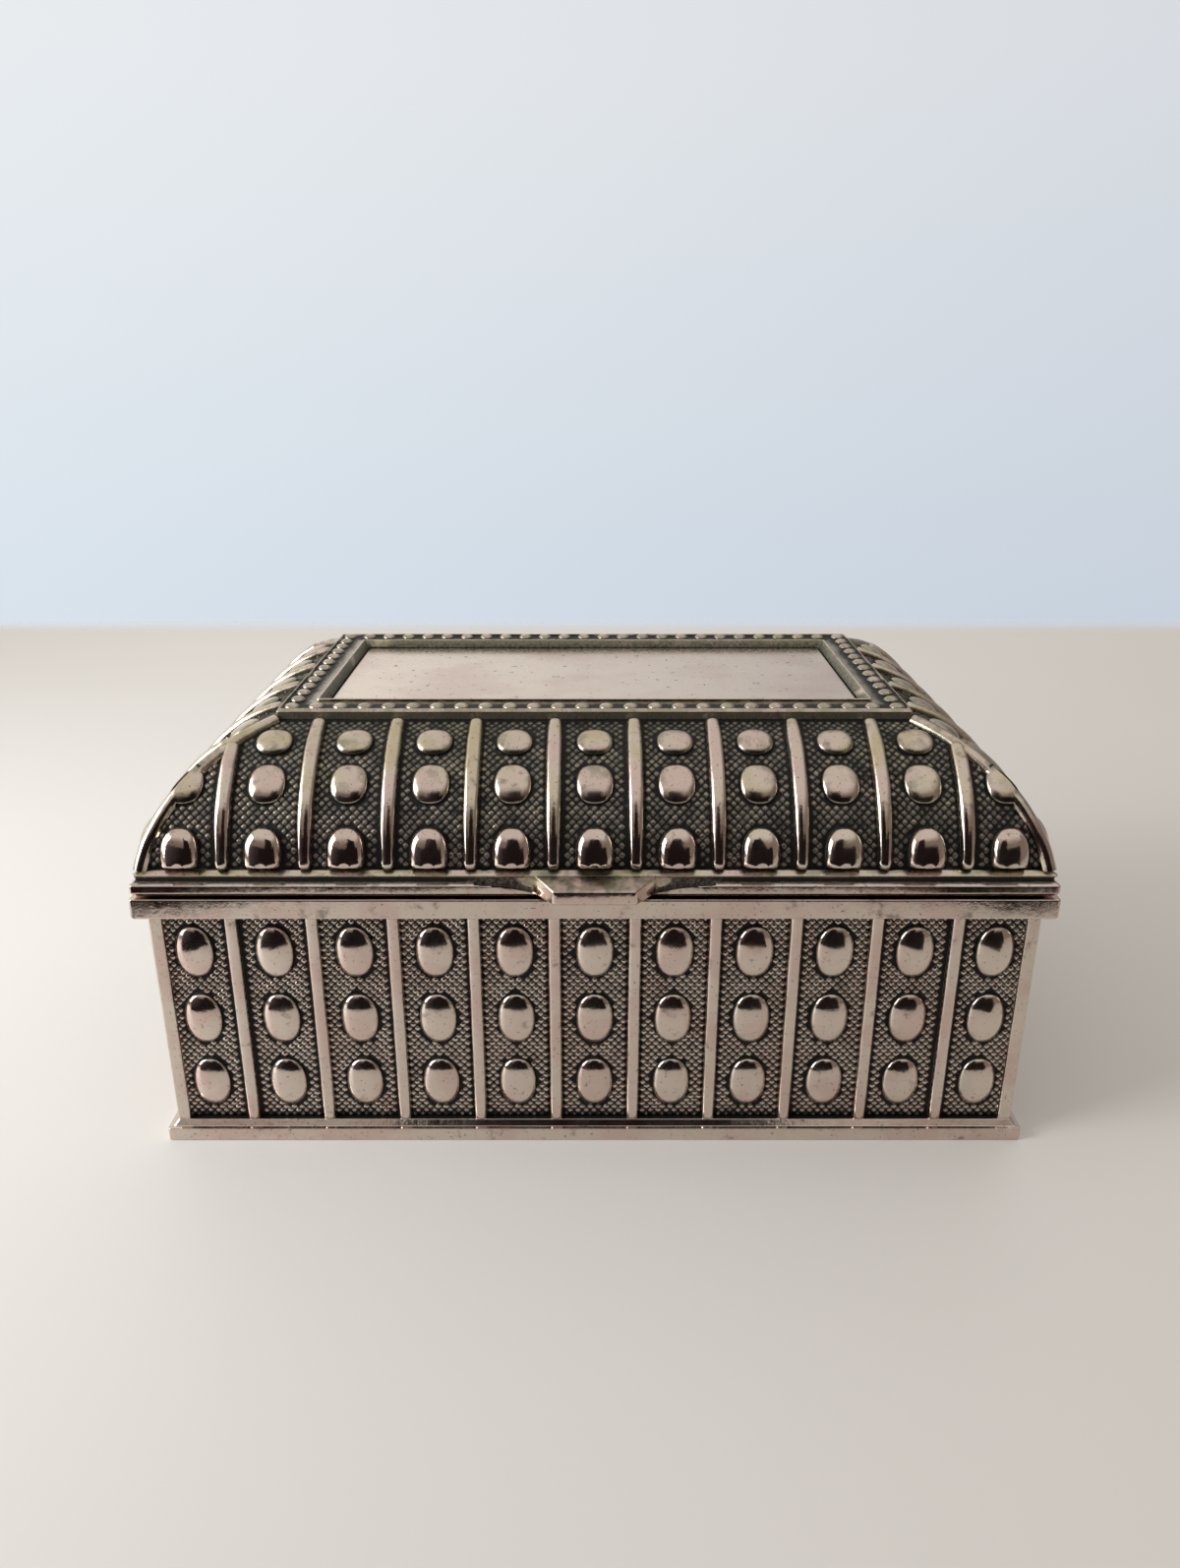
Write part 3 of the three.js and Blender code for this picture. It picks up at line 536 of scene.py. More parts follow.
def bar(radius, start, end, middle, edge, sides=36):
    """A round bar along X with rounded ends."""
    angles = 2 * np.pi * np.arange(sides) / sides
    rings = []
    for x, r in ((start, radius - edge), (start + edge * 0.3, radius - edge * 0.3), (start + edge, radius),
                 (end - edge, radius), (end - edge * 0.3, radius - edge * 0.3), (end, radius - edge)):
        rings.append(np.column_stack([np.full(sides, x), middle[1] + r * np.cos(angles),
                                      middle[2] + r * np.sin(angles)]))
    return tube(rings)


def lumps(across, up, width, low, high, height, ground, bare, seed, inside=None):
    """A plate of close-set lumps on a staggered lattice, drawn as (along, up, out) and flat where bare."""
    rng = np.random.default_rng(seed)
    columns, rows = int(width / across * 2), int((high - low) / up * 2)
    u = (np.arange(columns + 1) - columns / 2) * across / 2
    v = low + np.arange(rows + 1) * up / 2
    column, row = np.meshgrid(np.arange(columns + 1), np.arange(rows + 1), indexing="ij")
    keep = (column + row) % 2 == 0
    keep[[0, -1], :] = False
    keep[:, [0, -1]] = False
    if inside:
        keep &= inside(u[:, None], v[None, :])
    cells = np.argwhere(keep)
    corners = cells[:, None, :] + np.array([(1, 0), (0, 1), (-1, 0), (0, -1)])
    used, corner = np.unique(corners[..., 0] * (rows + 1) + corners[..., 1], return_inverse=True)
    corner = corner.reshape(len(cells), 4)
    valley = np.column_stack([u[used // (rows + 1)], v[used % (rows + 1)], np.zeros(len(used))])
    valley[:, :2] += rng.uniform(-ground.jitter, ground.jitter, (len(used), 2))
    back = valley.copy()
    back[:, 2] = -ground.sunk
    flat = bare(u[:, None], v[None, :])[cells[:, 0], cells[:, 1]]
    raised = cells[~flat]
    middles = np.column_stack([u[raised[:, 0]], v[raised[:, 1]]])
    middles += rng.uniform(-ground.jitter, ground.jitter, middles.shape)
    heights = height * rng.uniform(LUMP_EVENNESS, 1.0, len(raised))
    ring = []
    for step in range(8):
        angle = math.pi / 4 * step
        reach = LUMP_SHOULDER[step % 2] * np.array([across * math.cos(angle), up * math.sin(angle)])
        ring.append(np.column_stack([middles + reach, heights * LUMP_SHOULDER_HEIGHT]))
    points = np.concatenate([valley, back, *ring, np.column_stack([middles, heights])])
    index = np.arange(len(raised))
    shoulder = [2 * len(used) + step * len(raised) + index for step in range(8)]
    apex = 2 * len(used) + 8 * len(raised) + index
    faces = corner[flat].tolist()
    for k in range(4):
        after = (k + 1) % 4
        first, last = corner[~flat][:, k], corner[~flat][:, after]
        near, middle, far = shoulder[2 * k], shoulder[2 * k + 1], shoulder[2 * after]
        for face in ((first, middle, near), (first, last, middle), (last, far, middle),
                     (near, middle, apex), (middle, far, apex)):
            faces += np.column_stack(face).tolist()
        step = np.array(CORNER_SIGNS[k])
        edge = ~keep[cells[:, 0] + step[0], cells[:, 1] + step[1]]
        first, last = corner[edge, k], corner[edge, after]
        faces += np.column_stack([last, first, first + len(used), last + len(used)]).tolist()
    faces += (corner[:, ::-1] + len(used)).tolist()
    return points, faces


# Objects and their meshes

def made_object(name, shape):
    """A mesh object of a shape, in the scene."""
    mesh = bpy.data.meshes.new(name)
    mesh.from_pydata(np.asarray(shape[0]).tolist(), [], [tuple(face) for face in shape[1]])
    mesh.update()
    piece = bpy.data.objects.new(name, mesh)
    bpy.context.scene.collection.objects.link(piece)
    return piece


def volume(mesh):
    """The volume inside a closed mesh."""
    work = bmesh.new()
    work.from_mesh(mesh)
    found = work.calc_volume(signed=True)
    work.free()
    return found


def combined(piece, operation, *shapes):
    """Joins a closed piece with shapes in turn, or cuts it by them, and keeps the result as its mesh."""
    for shape in shapes:
        tool = made_object(piece.name + "_tool", shape)
        before = volume(piece.data)
        modifier = piece.modifiers.new("combine", "BOOLEAN")
        modifier.solver = "MANIFOLD"
        modifier.operation = operation
        modifier.object = tool
        depsgraph = bpy.context.evaluated_depsgraph_get()
        result = bpy.data.meshes.new_from_object(piece.evaluated_get(depsgraph))
        piece.modifiers.clear()
        old, piece.data = piece.data, result
        bpy.data.meshes.remove(old)
        bpy.data.objects.remove(tool)
        change = volume(piece.data) - before
        if change == 0 or (change > 0) != (operation == "UNION"):
            raise RuntimeError(f"{piece.name}: a {operation} left the solid as it was")
    return piece


def finished_mesh(piece, wobble=0.0, wobble_length=0.0):
    """Cuts many-sided faces up, makes the surface a little uneven and smooths its shading."""
    work = bmesh.new()
    work.from_mesh(piece.data)
    bmesh.ops.triangulate(work, faces=[f for f in work.faces if len(f.verts) > 4])
    if wobble:
        work.normal_update()
        places = np.array([vert.co for vert in work.verts])
        low, high = places.min(axis=0), places.max(axis=0)
        for vert in work.verts:
            moved = vert.co + vert.normal * wobble * noise.noise(vert.co / wobble_length)
            vert.co = np.clip(moved, low, high)
    work.to_mesh(piece.data)
    work.free()
    piece.data.shade_smooth()
    piece.data.set_sharp_from_angle(angle=SMOOTH_ANGLE)
    normals = piece.modifiers.new("even normals", "WEIGHTED_NORMAL")
    normals.keep_sharp = True
    return piece


def points_of(piece):
    """A piece's points as an array."""
    found = np.empty(len(piece.data.vertices) * 3)
    piece.data.vertices.foreach_get("co", found)
    return found.reshape(-1, 3)


def store(piece, name, values):
    """Keeps one number for each point, for the material to read."""
    layer = piece.data.attributes.new(name, "FLOAT", "POINT")
    layer.data.foreach_set("value", np.asarray(values, np.float32))


def dressed(piece, material, body, slot, *nodes):
    """Gives a piece its material and its body, and hides the CAD nodes it stands for; the slot is not used.
    """
    piece.data.materials.clear()
    piece.data.materials.append(material)
    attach(piece, body)
    if nodes:
        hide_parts(*nodes)
    return piece


# Materials

def per_metre(millimetres):
    """The scale of a pattern whose features are that far apart."""
    return 1 / (millimetres * MM)


def add_node(tree, kind, inputs=(), output=None, **fields):
    """Adds a node, sets its fields, sets or links its inputs, in order or by name, and gives an output."""
    node = tree.nodes.new("ShaderNode" + kind)
    for name, value in fields.items():
        setattr(node, name, value)
    if isinstance(inputs, dict):
        pairs = [(node.inputs[name], value) for name, value in inputs.items()]
    else:
        pairs = zip([socket for socket in node.inputs if socket.enabled], inputs)
    for socket, value in pairs:
        if isinstance(value, bpy.types.NodeSocket):
            tree.links.new(value, socket)
        else:
            socket.default_value = (*value, 1.0) if isinstance(value, Color) else value
    if output:
        return node.outputs[output]
    return next((socket for socket in node.outputs if socket.enabled), None)


def new_material(name):
    """A new material, its tree, and the place on the object that its patterns follow."""
    material = bpy.data.materials.new(name)
    material.use_nodes = True
    tree = material.node_tree
    tree.nodes.clear()
    return material, tree, add_node(tree, "TexCoord", output="Object")


def cast_silver(finish):
    """Zinc alloy die-cast, silver-plated, blackened and rubbed back by hand."""
    # The rubbed tops are warm, slightly uneven mirrors with brown specks; the hollows stay black and dull.
    material, tree, place = new_material("silver_plate_blackened_and_rubbed")
    relief = add_node(tree, "Attribute", output="Fac", attribute_name="relief")
    yellowing = add_node(tree, "Attribute", output="Fac", attribute_name="yellowing")
    blotch = add_node(tree, "TexNoise", {"Vector": place, "Scale": per_metre(7), "Detail": 3.0})
    patch = add_node(tree, "TexNoise",
                     {"Vector": place, "Scale": per_metre(2.6), "Detail": 4.0, "Roughness": 0.6})
    grain = add_node(tree, "TexNoise",
                     {"Vector": place, "Scale": per_metre(0.45), "Detail": 4.0, "Roughness": 0.65})
    # Rubbing reaches down unevenly, so the edge of the bright metal follows the grain.
    uneven = add_node(tree, "MapRange", (grain, 0.3, 0.7, -0.05 * MM, 0.05 * MM))
    height = add_node(tree, "Math", (relief, uneven), operation="ADD")
    rubbed = add_node(tree, "MapRange", (height, 0.06 * MM, 0.24 * MM), **SMOOTH_STEP)
    # Handling keeps the tops rosy; the flanks below them turn olive.
    worn = add_node(tree, "MapRange", (patch, 0.35, 0.65, -0.4 * MM, 0.4 * MM))
    worn = add_node(tree, "Math", (relief, worn), operation="ADD")
    flank = add_node(tree, "MapRange", (worn, 0.9 * MM, 0.25 * MM), **SMOOTH_STEP)
    flank = add_node(tree, "Math", (flank, yellowing), operation="MULTIPLY")
    yellow = add_node(tree, "MapRange", (blotch, 0.40, 0.62), **SMOOTH_STEP)
    yellow = add_node(tree, "Math", (yellow, yellowing), operation="MULTIPLY")
    rose = add_node(tree, "MapRange", (blotch, 0.56, 0.40, 0.0, 0.7), **SMOOTH_STEP)
    spots = add_node(tree, "MapRange", (patch, 0.59, 0.72, 0.0, 0.5), **SMOOTH_STEP)
    specks = add_node(tree, "MapRange", (grain, 0.60, 0.69, 0.0, 0.65), **SMOOTH_STEP)
    tone = add_node(tree, "Mix", (rose, finish.silver, finish.rosy), **COLOUR_MIX)
    tone = add_node(tree, "Mix", (yellow, tone, finish.yellowed), **COLOUR_MIX)
    tone = add_node(tree, "Mix", (flank, tone, finish.flank), **COLOUR_MIX)
    tone = add_node(tree, "Mix", (spots, tone, finish.tarnish), **COLOUR_MIX)
    tone = add_node(tree, "Mix", (specks, tone, finish.tarnish), **COLOUR_MIX)
    colour = add_node(tree, "Mix", (rubbed, finish.oxide, tone), **COLOUR_MIX)
    smooth = add_node(tree, "MapRange", (patch, 0.35, 0.75, 0.09, 0.20))
    dull = add_node(tree, "MapRange", (yellowing, 0.45, 1.0, 0.0, 0.22))
    smooth = add_node(tree, "Math", (smooth, dull), operation="ADD")
    rough = add_node(tree, "Mix", (rubbed, 0.62, smooth))
    metal = add_node(tree, "MapRange", (rubbed, 0.0, 1.0, 0.35, 1.0))
    # Strokes of the polishing brush run up the sides.
    brushed = add_node(tree, "Mapping", {"Vector": place, "Scale": (1.0, 1.0, 0.2)})
    strokes = add_node(tree, "TexNoise", {"Vector": brushed, "Scale": per_metre(0.6), "Detail": 3.0})
    bump = add_node(tree, "Bump", {"Height": patch, "Strength": 0.6, "Distance": 0.06 * MM})
    bump = add_node(tree, "Bump",
                    {"Height": strokes, "Normal": bump, "Strength": 0.3, "Distance": 0.03 * MM})
    bump = add_node(tree, "Bump",
                    {"Height": grain, "Normal": bump, "Strength": 0.25, "Distance": 0.02 * MM})
    shader = add_node(tree, "BsdfPrincipled",
                      {"Base Color": colour, "Roughness": rough, "Metallic": metal, "Normal": bump})
    add_node(tree, "OutputMaterial", {"Surface": shader})
    return material


def plate_silver(finish):
    """Brass sheet, silver-plated and polished, then spotted by handling."""
    # A flat soft mirror, pinkish where the plate is thin, with small dark spots and rings.
    material, tree, place = new_material("silver_plate_polished_sheet")
    bloom = add_node(tree, "TexNoise", {"Vector": place, "Scale": per_metre(14), "Detail": 3.0})
    spot = add_node(tree, "TexNoise",
                    {"Vector": place, "Scale": per_metre(1.3), "Detail": 3.0, "Roughness": 0.6})
    wear = add_node(tree, "TexNoise", {"Vector": place, "Scale": per_metre(0.5), "Detail": 3.0})
    rose = add_node(tree, "MapRange", (bloom, 0.42, 0.66), **SMOOTH_STEP)
    dark = add_node(tree, "MapRange", (spot, 0.635, 0.70, 0.0, 0.75), **SMOOTH_STEP)
    # Dried drops leave thin rings about 1 mm across, on one place in three.
    drops = add_node(tree, "TexVoronoi", {"Vector": place, "Scale": per_metre(5)}, "Distance")
    chosen = add_node(tree, "SeparateColor", (drops.node.outputs["Color"],))
    chosen = add_node(tree, "MapRange", (chosen, 0.60, 0.66, 0.0, 0.7))
    inner = add_node(tree, "MapRange", (drops, 0.07, 0.095), **SMOOTH_STEP)
    outer = add_node(tree, "MapRange", (drops, 0.13, 0.10), **SMOOTH_STEP)
    ring = add_node(tree, "Math", (inner, outer), operation="MULTIPLY")
    ring = add_node(tree, "Math", (ring, chosen), operation="MULTIPLY")
    tone = add_node(tree, "Mix", (rose, finish.plate, finish.plate_rosy), **COLOUR_MIX)
    tone = add_node(tree, "Mix", (dark, tone, finish.plate_spot), **COLOUR_MIX)
    tone = add_node(tree, "Mix", (ring, tone, finish.plate_spot), **COLOUR_MIX)
    rough = add_node(tree, "MapRange", (wear, 0.3, 0.7, 0.16, 0.32))
    dents = add_node(tree, "Bump", {"Height": bloom, "Strength": 0.15, "Distance": 0.05 * MM})
    shader = add_node(tree, "BsdfPrincipled",
                      {"Base Color": tone, "Metallic": 1.0, "Roughness": rough, "Normal": dents})
    add_node(tree, "OutputMaterial", {"Surface": shader})
    return material


def pin_steel(finish):
    """Carbon steel wire, drawn through a die."""
    # Fine lines along the wire from the die give a satin sheen.
    material, tree, place = new_material("drawn_steel_wire")
    drawn = add_node(tree, "Mapping", {"Vector": place, "Scale": (0.05, 1.0, 1.0)})
    lines = add_node(tree, "TexNoise", {"Vector": drawn, "Scale": per_metre(0.25), "Detail": 3.0})
    rough = add_node(tree, "MapRange", (lines, 0.0, 1.0, 0.24, 0.46))
    bump = add_node(tree, "Bump", {"Height": lines, "Strength": 0.2, "Distance": 0.02 * MM})
    shader = add_node(tree, "BsdfPrincipled",
                      {"Base Color": finish.steel, "Metallic": 1.0, "Roughness": rough, "Normal": bump})
    add_node(tree, "OutputMaterial", {"Surface": shader})
    return material


def velvet_rayon(finish):
    """Rayon velvet, woven with a cut pile."""
    # Dark red, turned lighter in patches where the nap leans, a painted sheen for light caught along the
    # pile, with a soft bright rim from the shader's own sheen.
    material, tree, place = new_material("rayon_velvet_cut_pile")
    nap = add_node(tree, "TexNoise",
                   {"Vector": place, "Scale": per_metre(11), "Detail": 4.0, "Roughness": 0.55})
    # Real pile tufts stand 0.1 mm apart; they are drawn at 0.35 mm so that they show.
    pile = add_node(tree, "TexNoise", {"Vector": place, "Scale": per_metre(0.35), "Detail": 2.0})
    lean = add_node(tree, "MapRange", (nap, 0.38, 0.70), **SMOOTH_STEP)
    tone = add_node(tree, "Mix", (lean, finish.velvet, finish.velvet_painted_sheen), **COLOUR_MIX)
    # Painted shade: the colour darkens between the tufts of the pile.
    painted_pile_shade = add_node(tree, "MapRange", (pile, 0.25, 0.7, 0.55, 1.0))
    tone = add_node(tree, "Mix", (1.0, tone, painted_pile_shade), **COLOUR_TIMES)
    bump = add_node(tree, "Bump", {"Height": pile, "Strength": 0.6, "Distance": 0.2 * MM})
    shader = add_node(tree, "BsdfPrincipled",
                      {"Base Color": tone, "Normal": bump, "Roughness": 0.9, "Specular IOR Level": 0.2,
                       "Sheen Weight": 0.6, "Sheen Roughness": 0.35, "Sheen Tint": finish.velvet_sheen})
    add_node(tree, "OutputMaterial", {"Surface": shader})
    return material


def fibrous(name, colour, fibre, depth, sheen):
    """A dull fibrous sheet such as felt, card or wadding, with fibres of a given size in millimetres."""
    material, tree, place = new_material(name)
    fibres = add_node(tree, "TexNoise",
                      {"Vector": place, "Scale": per_metre(fibre), "Detail": 5.0, "Roughness": 0.7})
    clumps = add_node(tree, "TexNoise", {"Vector": place, "Scale": per_metre(fibre * 9), "Detail": 2.0})
    both = add_node(tree, "Math", (fibres, clumps), operation="ADD")
    shade = add_node(tree, "MapRange", (both, 0.6, 1.4, 0.65, 1.1))
    tone = add_node(tree, "Mix", (1.0, colour, shade), **COLOUR_TIMES)
    bump = add_node(tree, "Bump", {"Height": fibres, "Strength": 0.5, "Distance": depth * MM})
    shader = add_node(tree, "BsdfPrincipled",
                      {"Base Color": tone, "Normal": bump, "Roughness": 0.92, "Sheen Weight": sheen,
                       "Specular IOR Level": 0.2})
    add_node(tree, "OutputMaterial", {"Surface": shader})
    return material


# The castings

def hinge_knuckles(box, p, on_lid):
    """Knuckles with their webs: odd ones on the tray, even ones on the lid, which also have stop heels."""
    hinge = box.hinge
    y, z, r = p.hinge.y, p.hinge.z, hinge.radius
    made = []
    for i in range(1 if on_lid else 0, hinge.knuckles, 2):
        middle = (i - (hinge.knuckles - 1) / 2) * (hinge.length + hinge.gap)
        start, end = middle - hinge.length / 2, middle + hinge.length / 2
        root = p.half[1] + (box.lid.band_out if on_lid else box.tray.rim_out) - box.ground.sunk
        low = p.lid_bottom if on_lid else z - r
        high = z + r if on_lid else p.rim_top
        made.append(bar(r, start, end, p.hinge, hinge.edge))
        made.append(bevelled(*block((start, root, low), (end, y, high)), hinge.edge * 0.6))
        if on_lid:
            made.append(bevelled(*block((start, y, z - r), (end, y + r, z)), hinge.edge * 0.6))
    return made


def pin_bore(box, p):
    """The hole through all the knuckles."""
    reach = box.hinge.knuckles * (box.hinge.length + box.hinge.gap) / 2 + box.hinge.gap
    return bar(box.hinge.bore, -reach, reach, p.hinge, 0.05 * MM)


def wall_bosses(box, p, side):
    """The bosses of one wall, as ovals of (along, up, width, height)."""
    tray = box.tray
    middle = p.foot_top + tray.wall_height / 2
    rows = [middle + (row - (tray.boss_rows - 1) / 2) * tray.row_pitch for row in range(tray.boss_rows)]
    return [(along, up, tray.boss_width, tray.boss_height) for along in panel_middles(side) for up in rows]


def bare_ground(u, v, ribs, rib, bosses, ground):
    """Tells which places lie by ribs of one width or by the ovals of bosses."""
    bare = np.zeros((len(u), v.shape[1]), bool)
    for along in ribs:
        bare |= np.abs(u - along) < rib / 2 + ground.rib_trough
    reach = ground.boss_trough
    for along, up, width, height in bosses:
        bare |= ((u - along) / (width / 2 + reach)) ** 2 + ((v - up) / (height / 2 + reach)) ** 2 < 1
    return bare


def boss_edges(along, up, bosses):
    """A share that falls to 0 at the edges of the ovals of bosses, where blackening is left."""
    near = np.full(len(along), np.inf)
    power = BOSS_SQUARENESS
    for place, level, width, height in bosses:
        reach = np.abs((along - place) * 2 / width) ** power + np.abs((up - level) * 2 / height) ** power
        near = np.minimum(near, reach ** (1 / power))
    return np.where(near < 1, np.clip((0.98 - near) / 0.08, 0, 1), 1)


def wall_ground(box, p, side):
    """The lumpy ground of one wall, with bare troughs around its ornament."""
    tray, ground = box.tray, box.ground
    bosses = wall_bosses(box, p, side)
    return lumps(ground.tray_across, ground.tray_up, side.length - tray.post, p.foot_top - 0.2 * MM,
                 p.wall_top + 0.4 * MM, ground.height, ground,
                 lambda u, v: bare_ground(u, v, rib_places(side), tray.rib, bosses, ground), side.turn)


def wall_ornament(box, p, side):
    """The oval bosses of one wall, and its flat-topped ribs with rounded feet."""
    tray, sunk = box.tray, box.ground.sunk
    made = [dome(oval, tray.boss_proud, sunk) for oval in wall_bosses(box, p, side)]
    low, high = p.foot_top - 0.12 * MM, p.wall_top + sunk
    for along in rib_places(side):
        line = [(along, low, 0.72), (along, low + 0.12 * MM, 0.92), (along, low + 0.35 * MM, 1.0)]
        line += [(along, low + share * (high - low), 1.0) for share in np.linspace(0.05, 1, 12)]
        made.append(ridge(line, tray.rib, tray.rib_proud, sunk, WALL_RIB_SQUARENESS))
    return made


def corner_posts(box, p):
    """The four square posts at the corners of the tray."""
    tray, sunk = box.tray, box.ground.sunk
    made = []
    for sign_x, sign_y in CORNER_SIGNS:
        outer = np.array([sign_x * p.half[0], sign_y * p.half[1]])
        inner = outer - tray.post * np.array([sign_x, sign_y])
        low, high = np.minimum(outer, inner), np.maximum(outer, inner)
        made.append(bevelled(*block((*low, p.foot_top - 0.15 * MM), (*high, p.wall_top + sunk)), 0.22 * MM))
    return made


def tray_relief(box, p, points):
    """How far each point of the tray stands above the ground of its wall; plain parts count as high."""
    z = points[:, 2]
    inset = box.tray.ground_inset
    out = offset_of(p, points) + inset
    wall = (z > p.foot_top - 0.03 * MM) & (z < p.wall_top + 0.02 * MM) & (out > -0.6 * MM)
    relief = np.where(wall, out, PLAIN_RELIEF)
    # The lumps just above the foot, and the ledge they stand on, are made darker.
    foot_darkening = np.clip(1 - (z - p.foot_top) / (1.3 * MM), 0, 1)
    relief = np.where(wall & (out < 0.5 * MM), relief - 0.2 * MM * foot_darkening, relief)
    ledge = wall & (z < p.foot_top + 0.03 * MM) & (out < 0.75 * MM)
    relief = np.where(ledge, 0, relief)
    for side in sides(box, p):
        local = turned(points, -side.turn % 4)
        facing = wall & (local[:, 1] < 0.6 * MM + inset - side.distance)
        relief[facing] *= boss_edges(local[facing, 0], local[facing, 2], wall_bosses(box, p, side))
    return relief


class BOX_OT_base_casting(bpy.types.Operator):
    """Builds the base casting: foot, ribbed and bossed walls on a lumpy ground, rim and hinge knuckles"""
    bl_idname = "trinket.base_casting"
    bl_label = "Base casting"

    def execute(self, context):
        box = context.scene.trinket_box
        p = plan(box)
        tray, ground = box.tray, box.ground
        core = -tray.ground_inset - ground.clearance
        ring = tray.foot_out - tray.foot_ring
        profile = softened([
            (ring, tray.felt_recess, 0), (ring, 0, 0.1 * MM),
            (tray.foot_out, 0, 0.2 * MM), (tray.foot_out, tray.foot_band, 0.12 * MM),
            (tray.foot_out - tray.foot_ledge, tray.foot_band, 0.08 * MM), (0.05 * MM, p.foot_top, 0.08 * MM),
            (-0.12 * MM, p.foot_top, 0), (core, p.foot_top, 0), (core, p.wall_top, 0),
            (tray.rim_out, p.wall_top, 0.35 * MM), (tray.rim_out, p.rim_top, 0.25 * MM),
            (p.cavity, p.rim_top, 0.35 * MM), (p.cavity, p.floor_top, 0),
        ])
        piece = made_object("base_shell", loft(p.half, profile, CAST_CORNER, CAST_SPACING))
        plates = [on_wall(side, tray.ground_inset, wall_ground(box, p, side)) for side in sides(box, p)]
        ornament = [on_wall(side, tray.ground_inset, shape)
                    for side in sides(box, p) for shape in wall_ornament(box, p, side)]
        combined(piece, "UNION", gathered(plates[0::2]), gathered(plates[1::2]), gathered(ornament),
                 gathered(corner_posts(box, p)), *hinge_knuckles(box, p, False))
        combined(piece, "DIFFERENCE", pin_bore(box, p))
        finished_mesh(piece, *CAST_WOBBLE)
        store(piece, "relief", tray_relief(box, p, points_of(piece)))
        store(piece, "yellowing", np.full(len(piece.data.vertices), 0.15))
        dressed(piece, cast_silver(box.finish), "tray", "cast_silver", "base_casting")
        return {"FINISHED"}


def slope_bosses(box, p, side):
    """The bosses of one slope, as their ovals, domes, squareness, fullness and the levels of cut feet."""
    lid = box.lid
    high = p.arc_length - lid.high_margin - lid.high_row / 2
    middle = high - lid.high_row / 2 - lid.high_gap - lid.middle_row / 2
    low = lid.low_margin + lid.low_row - lid.low_dome / 2
    rows = ((low, lid.low_dome, lid.low_proud, 2.3, 2.9, lid.low_margin),
            (middle, lid.middle_row, lid.boss_proud, 2.35, 2.5, None),
            (high, lid.high_row, lid.boss_proud, 2.3, 2.5, None))
    made = []
    for level, height, *form in rows:
        for along in panel_middles(side):
            if side.length / 2 - abs(along) + lid.boss_width / 2 > inset_at(p, level):
                made.append(((along, level, lid.boss_width, height), *form))
    return made


def slope_ovals(box, p, side):
    """The ovals of one slope's bosses."""
    return [oval for oval, *_ in slope_bosses(box, p, side)]


def slope_ground(box, p, side):
    """The lumpy ground of one slope, with bare troughs around its ornament and at its mitres."""
    lid, ground = box.lid, box.ground
    ribs, bosses = rib_places(side), slope_ovals(box, p, side)
    return lumps(ground.lid_across, ground.lid_up, side.length, 0.05 * MM, p.arc_length + 0.3 * MM,
                 ground.lid_height, ground,
                 lambda u, v: bare_ground(u, v, ribs, lid.rib * 0.9, bosses, ground), 4 + side.turn,
                 lambda u, v: np.abs(u) + inset_at(p, v) < side.length / 2 - LUMP_MITRE_GAP)


def slope_ornament(box, p, side):
    """The bosses and ribs of one slope."""
    lid, sunk = box.lid, box.ground.sunk
    made = [dome(oval, proud, sunk, *form) for oval, proud, *form in slope_bosses(box, p, side)]
    start = 0.1 * MM
    shares = np.concatenate([np.linspace(0, 0.06, 5), np.linspace(0.1, 0.9, 16), np.linspace(0.94, 1, 5)])
    for along in rib_places(side):
        end = arc_at(p, min(side.length / 2 - abs(along), lid.run)) - 0.55 * MM
        line = []
        for share in shares:
            arc = start + share * (end - start)
            near = min(1.0, (0.25 * MM + min(arc - start, (end - arc) * 2.2)) / lid.rib_end)
            taper = np.interp(share, (0, 0.4, 0.8, 1), (0.8, 1, 1, 0.88))
            line.append((along, arc, taper * max(0.3, math.sqrt(1 - (1 - near) ** 2))))
        made.append(ridge(line, lid.rib, lid.rib_proud, sunk, LID_RIB_SQUARENESS))
    return made


def mitre_wedge(box, p, side):
    """The part of the lid that one slope owns, just short of its two mitres."""
    reach = max(p.half)
    outer = side.length / 2 + reach - box.lid.mitre_gap
    inner = side.length / 2 - box.lid.run - box.lid.mitre_gap
    front, back = -side.distance - reach, -side.distance + box.lid.run
    rings = [[(-outer, front, z), (outer, front, z), (inner, back, z), (-inner, back, z)]
             for z in (p.lid_bottom, p.lip_top + 2 * MM)]
    points, faces = tube(rings)
    return turned(points, side.turn), faces


def hip_ribs(box, p):
    """The ribs up the four mitres."""
    lid, sunk = box.lid, box.ground.sunk
    angles = np.linspace(p.arc_start, p.arc_end, 28)
    swing = np.pi * (np.arange(11) / 10 - 0.5)
    section = np.concatenate([np.column_stack([np.sin(swing) * lid.hip / 2, np.cos(swing) * lid.hip_proud]),
                              [(lid.hip / 2, -sunk), (-lid.hip / 2, -sunk)]])
    made = []
    for sign_x, sign_y in CORNER_SIGNS:
        across = np.array([-sign_y, sign_x, 0]) / math.sqrt(2)
        rings = []
        for angle in angles:
            inset = p.arc_inset - p.radius * math.cos(angle)
            middle = np.array([sign_x * (p.half[0] - inset), sign_y * (p.half[1] - inset),
                               p.arc_z + p.radius * math.sin(angle)])
            level = math.cos(angle) / 2
            out = np.array([sign_x * level, sign_y * level, math.sin(angle)])
            out /= np.linalg.norm(out)
            rings.append(middle + section[:, :1] * across + section[:, 1:] * out)
        made.append(tube(rings))
    return made


